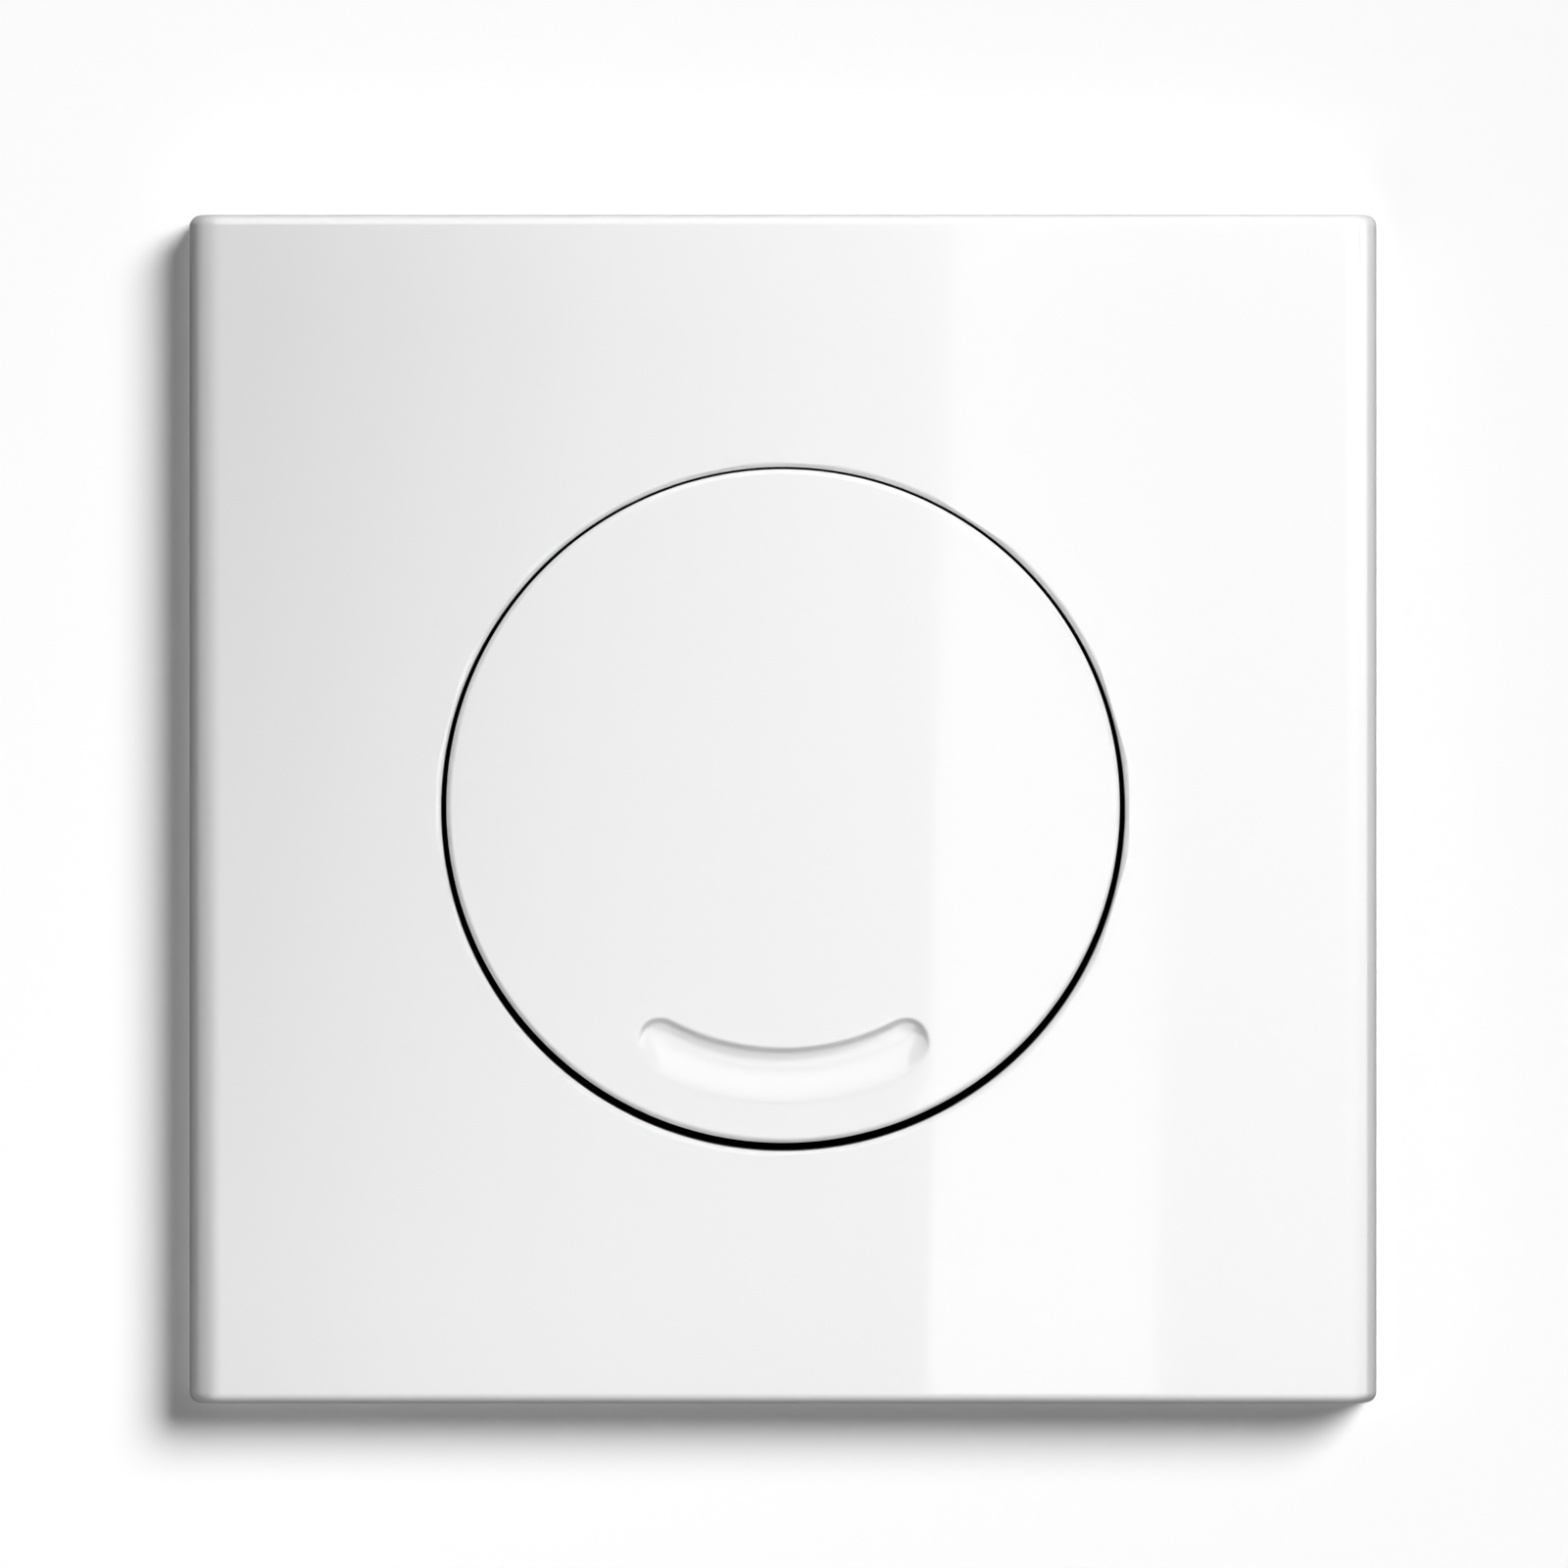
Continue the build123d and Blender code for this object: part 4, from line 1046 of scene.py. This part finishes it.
def soft_box(name, place, size, power, towards=None):
    """A rectangular lamp that faces straight at the wall or towards a point."""
    lamp = bpy.data.lights.new(name, "AREA")
    lamp.shape = "RECTANGLE"
    lamp.size, lamp.size_y = size
    lamp.energy = power
    box = bpy.data.objects.new(name, lamp)
    box.location = place
    direction = Vector((0, 1, 0)) if towards is None else Vector(towards) - Vector(place)
    box.rotation_euler = direction.to_track_quat("-Z", "Y").to_euler()
    box.visible_camera = False
    bpy.context.scene.collection.objects.link(box)
    return box


room = bpy.data.collections.new("left_out_by_front_lamps")
for sheet in (wall, floor):
    room.objects.link(sheet)
for left_out in room.collection_objects:
    left_out.light_linking.link_state = "EXCLUDE"
for box in (
    soft_box("key_soft_box", KEY_PLACE, KEY_SIZE, KEY_POWER),
    soft_box("top_soft_box", TOP_PLACE, TOP_SIZE, TOP_POWER, PLATE_MIDDLE),
):
    box.visible_glossy = False
    box.light_linking.receiver_collection = room
soft_box("low_left_fill", FILL_PLACE, FILL_SIZE, FILL_POWER, PLATE_MIDDLE)


def card_material(name, brightness):
    """A card that shines by itself."""
    material, shader = new_material(name)
    shader.inputs["Base Color"].default_value = (0, 0, 0, 1)
    shader.inputs["Emission Color"].default_value = (1, 1, 1, 1)
    shader.inputs["Emission Strength"].default_value = brightness
    return material, shader


def show_in_gloss_only(card):
    """Hides a card from the camera, from matt surfaces and from shadows."""
    card.visible_camera = False
    card.visible_diffuse = False
    card.visible_shadow = False


def upright_card(name, across, y, up, material):
    """A card that faces the plate, given by its limits across and up."""
    corners = [(x, y, z) for x, z in zip(across + across[::-1], sorted(up * 2))]
    show_in_gloss_only(plain_sheet(name, corners, [(0, 3, 2, 1)], material))


def card_share(nodes, links, place, axis, limits):
    """How far along the card a point lies, from 0 to 1."""
    share = nodes.new("ShaderNodeMapRange")
    share.inputs["From Min"].default_value = limits[0]
    share.inputs["From Max"].default_value = limits[1]
    links.new(place.outputs[axis], share.inputs["Value"])
    return share


def graded_card(name, across, y, up, top_tones, bottom_tones):
    """A card whose tone changes across and from its bottom row to its top row."""
    material, shader = card_material(name, CARD_BRIGHTNESS)
    nodes, links = material.node_tree.nodes, material.node_tree.links
    lean = nodes.new("ShaderNodeMapping")
    lean.inputs["Rotation"].default_value = (0, CARD_LEAN, 0)
    links.new(nodes.new("ShaderNodeTexCoord").outputs["Object"], lean.inputs["Vector"])
    place = nodes.new("ShaderNodeSeparateXYZ")
    links.new(lean.outputs["Vector"], place.inputs["Vector"])
    across_share = card_share(nodes, links, place, "X", across)
    up_share = card_share(nodes, links, place, "Z", CARD_GRADED_Z)
    tone = nodes.new("ShaderNodeMix")
    tone.data_type = "RGBA"
    links.new(up_share.outputs["Result"], tone.inputs["Factor"])
    for socket, tones in (("A_Color", bottom_tones), ("B_Color", top_tones)):
        ramp = nodes.new("ShaderNodeValToRGB")
        while len(ramp.color_ramp.elements) < len(tones):
            ramp.color_ramp.elements.new(0.5)
        for stop, (x, grey) in zip(ramp.color_ramp.elements, tones):
            stop.position = (x - across[0]) / (across[1] - across[0])
            stop.color = (grey, grey, grey, 1)
        links.new(across_share.outputs["Result"], ramp.inputs["Fac"])
        links.new(ramp.outputs["Color"], next(i for i in tone.inputs if i.identifier == socket))
    blended = next(o for o in tone.outputs if o.identifier == "Result_Color")
    links.new(blended, shader.inputs["Emission Color"])
    upright_card(name, across, y, up, material)


graded_card("bright_card", CARD_X, CARD_Y, CARD_Z, CARD_TONES_TOP, CARD_TONES_BOTTOM)
graded_card("outer_card", OUTER_CARD_X, OUTER_CARD_Y, OUTER_CARD_Z, OUTER_TONES_TOP, OUTER_TONES_BOTTOM)
top_white, _ = card_material("top_card_white", TOP_CARD_BRIGHTNESS)
upright_card("top_card", TOP_CARD_X, TOP_CARD_Y, TOP_CARD_Z, top_white)
side_white, _ = card_material("side_card_white", SIDE_CARD_BRIGHTNESS)
side_outline = zip(SIDE_CARD_Y + SIDE_CARD_Y[::-1], sorted(SIDE_CARD_Z * 2))
side_corners = [(SIDE_CARD_X, y, z) for y, z in side_outline]
show_in_gloss_only(plain_sheet("side_card", side_corners, [(0, 1, 2, 3)], side_white))
for name, z, along, brightness in (
    ("overhead_card", OVERHEAD_CARD_Z, OVERHEAD_CARD_Y, OVERHEAD_CARD_BRIGHTNESS),
    ("low_card", LOW_CARD_Z, LOW_CARD_Y, LOW_CARD_BRIGHTNESS),
):
    level_white, _ = card_material(name + "_white", brightness)
    corners = [(x, y, z) for x, y in zip(LEVEL_CARD_X + LEVEL_CARD_X[::-1], sorted(along * 2))]
    show_in_gloss_only(plain_sheet(name, corners, [(0, 1, 2, 3)], level_white))
for number, place in enumerate(REAR_PLACES):
    soft_box("rear_soft_box_%d" % (number + 1), place, REAR_SIZE, REAR_POWER, REAR_AIM)
# This box shines through the wall and lights the plate's rim from behind.
edge_box = soft_box("edge_soft_box", EDGE_PLACE, EDGE_SIZE, EDGE_POWER, PLATE_MIDDLE)
edge_box.light_linking.blocker_collection = room
edge_box.visible_glossy = False


def wash(sheet, strength, coming_from):
    """A broad far light that falls on one studio sheet alone."""
    lamp = bpy.data.lights.new(sheet.name + "_wash", "SUN")
    lamp.energy = strength
    lamp.angle = WASH_SPREAD
    broad_light = bpy.data.objects.new(lamp.name, lamp)
    broad_light.rotation_euler = (-Vector(coming_from)).to_track_quat("-Z", "Y").to_euler()
    bpy.context.scene.collection.objects.link(broad_light)
    washed = bpy.data.collections.new("lit_by_" + lamp.name)
    washed.objects.link(sheet)
    broad_light.light_linking.receiver_collection = washed


wash(wall, WASH_STRENGTH, WASH_FROM)
wash(floor, FLOOR_WASH_STRENGTH, FLOOR_WASH_FROM)

# Camera
# A long lens straight on from the front, a metre and a half away, so that the plate's sides
# hardly show. Colours go out as they are, without a film look.

CAMERA_PLACE = (0.13 * MM, -1.51, 3.36 * MM)
CAMERA_LENS = 256.2
CAMERA_SENSOR = 36.0

camera_data = bpy.data.cameras.new("front_camera")
camera_data.sensor_width = CAMERA_SENSOR
camera_data.lens = CAMERA_LENS
camera = bpy.data.objects.new("front_camera", camera_data)
camera.location = CAMERA_PLACE
camera.rotation_euler = (math.pi / 2, 0, 0)
bpy.context.scene.collection.objects.link(camera)
bpy.context.scene.camera = camera
bpy.context.scene.view_settings.view_transform = "Standard"
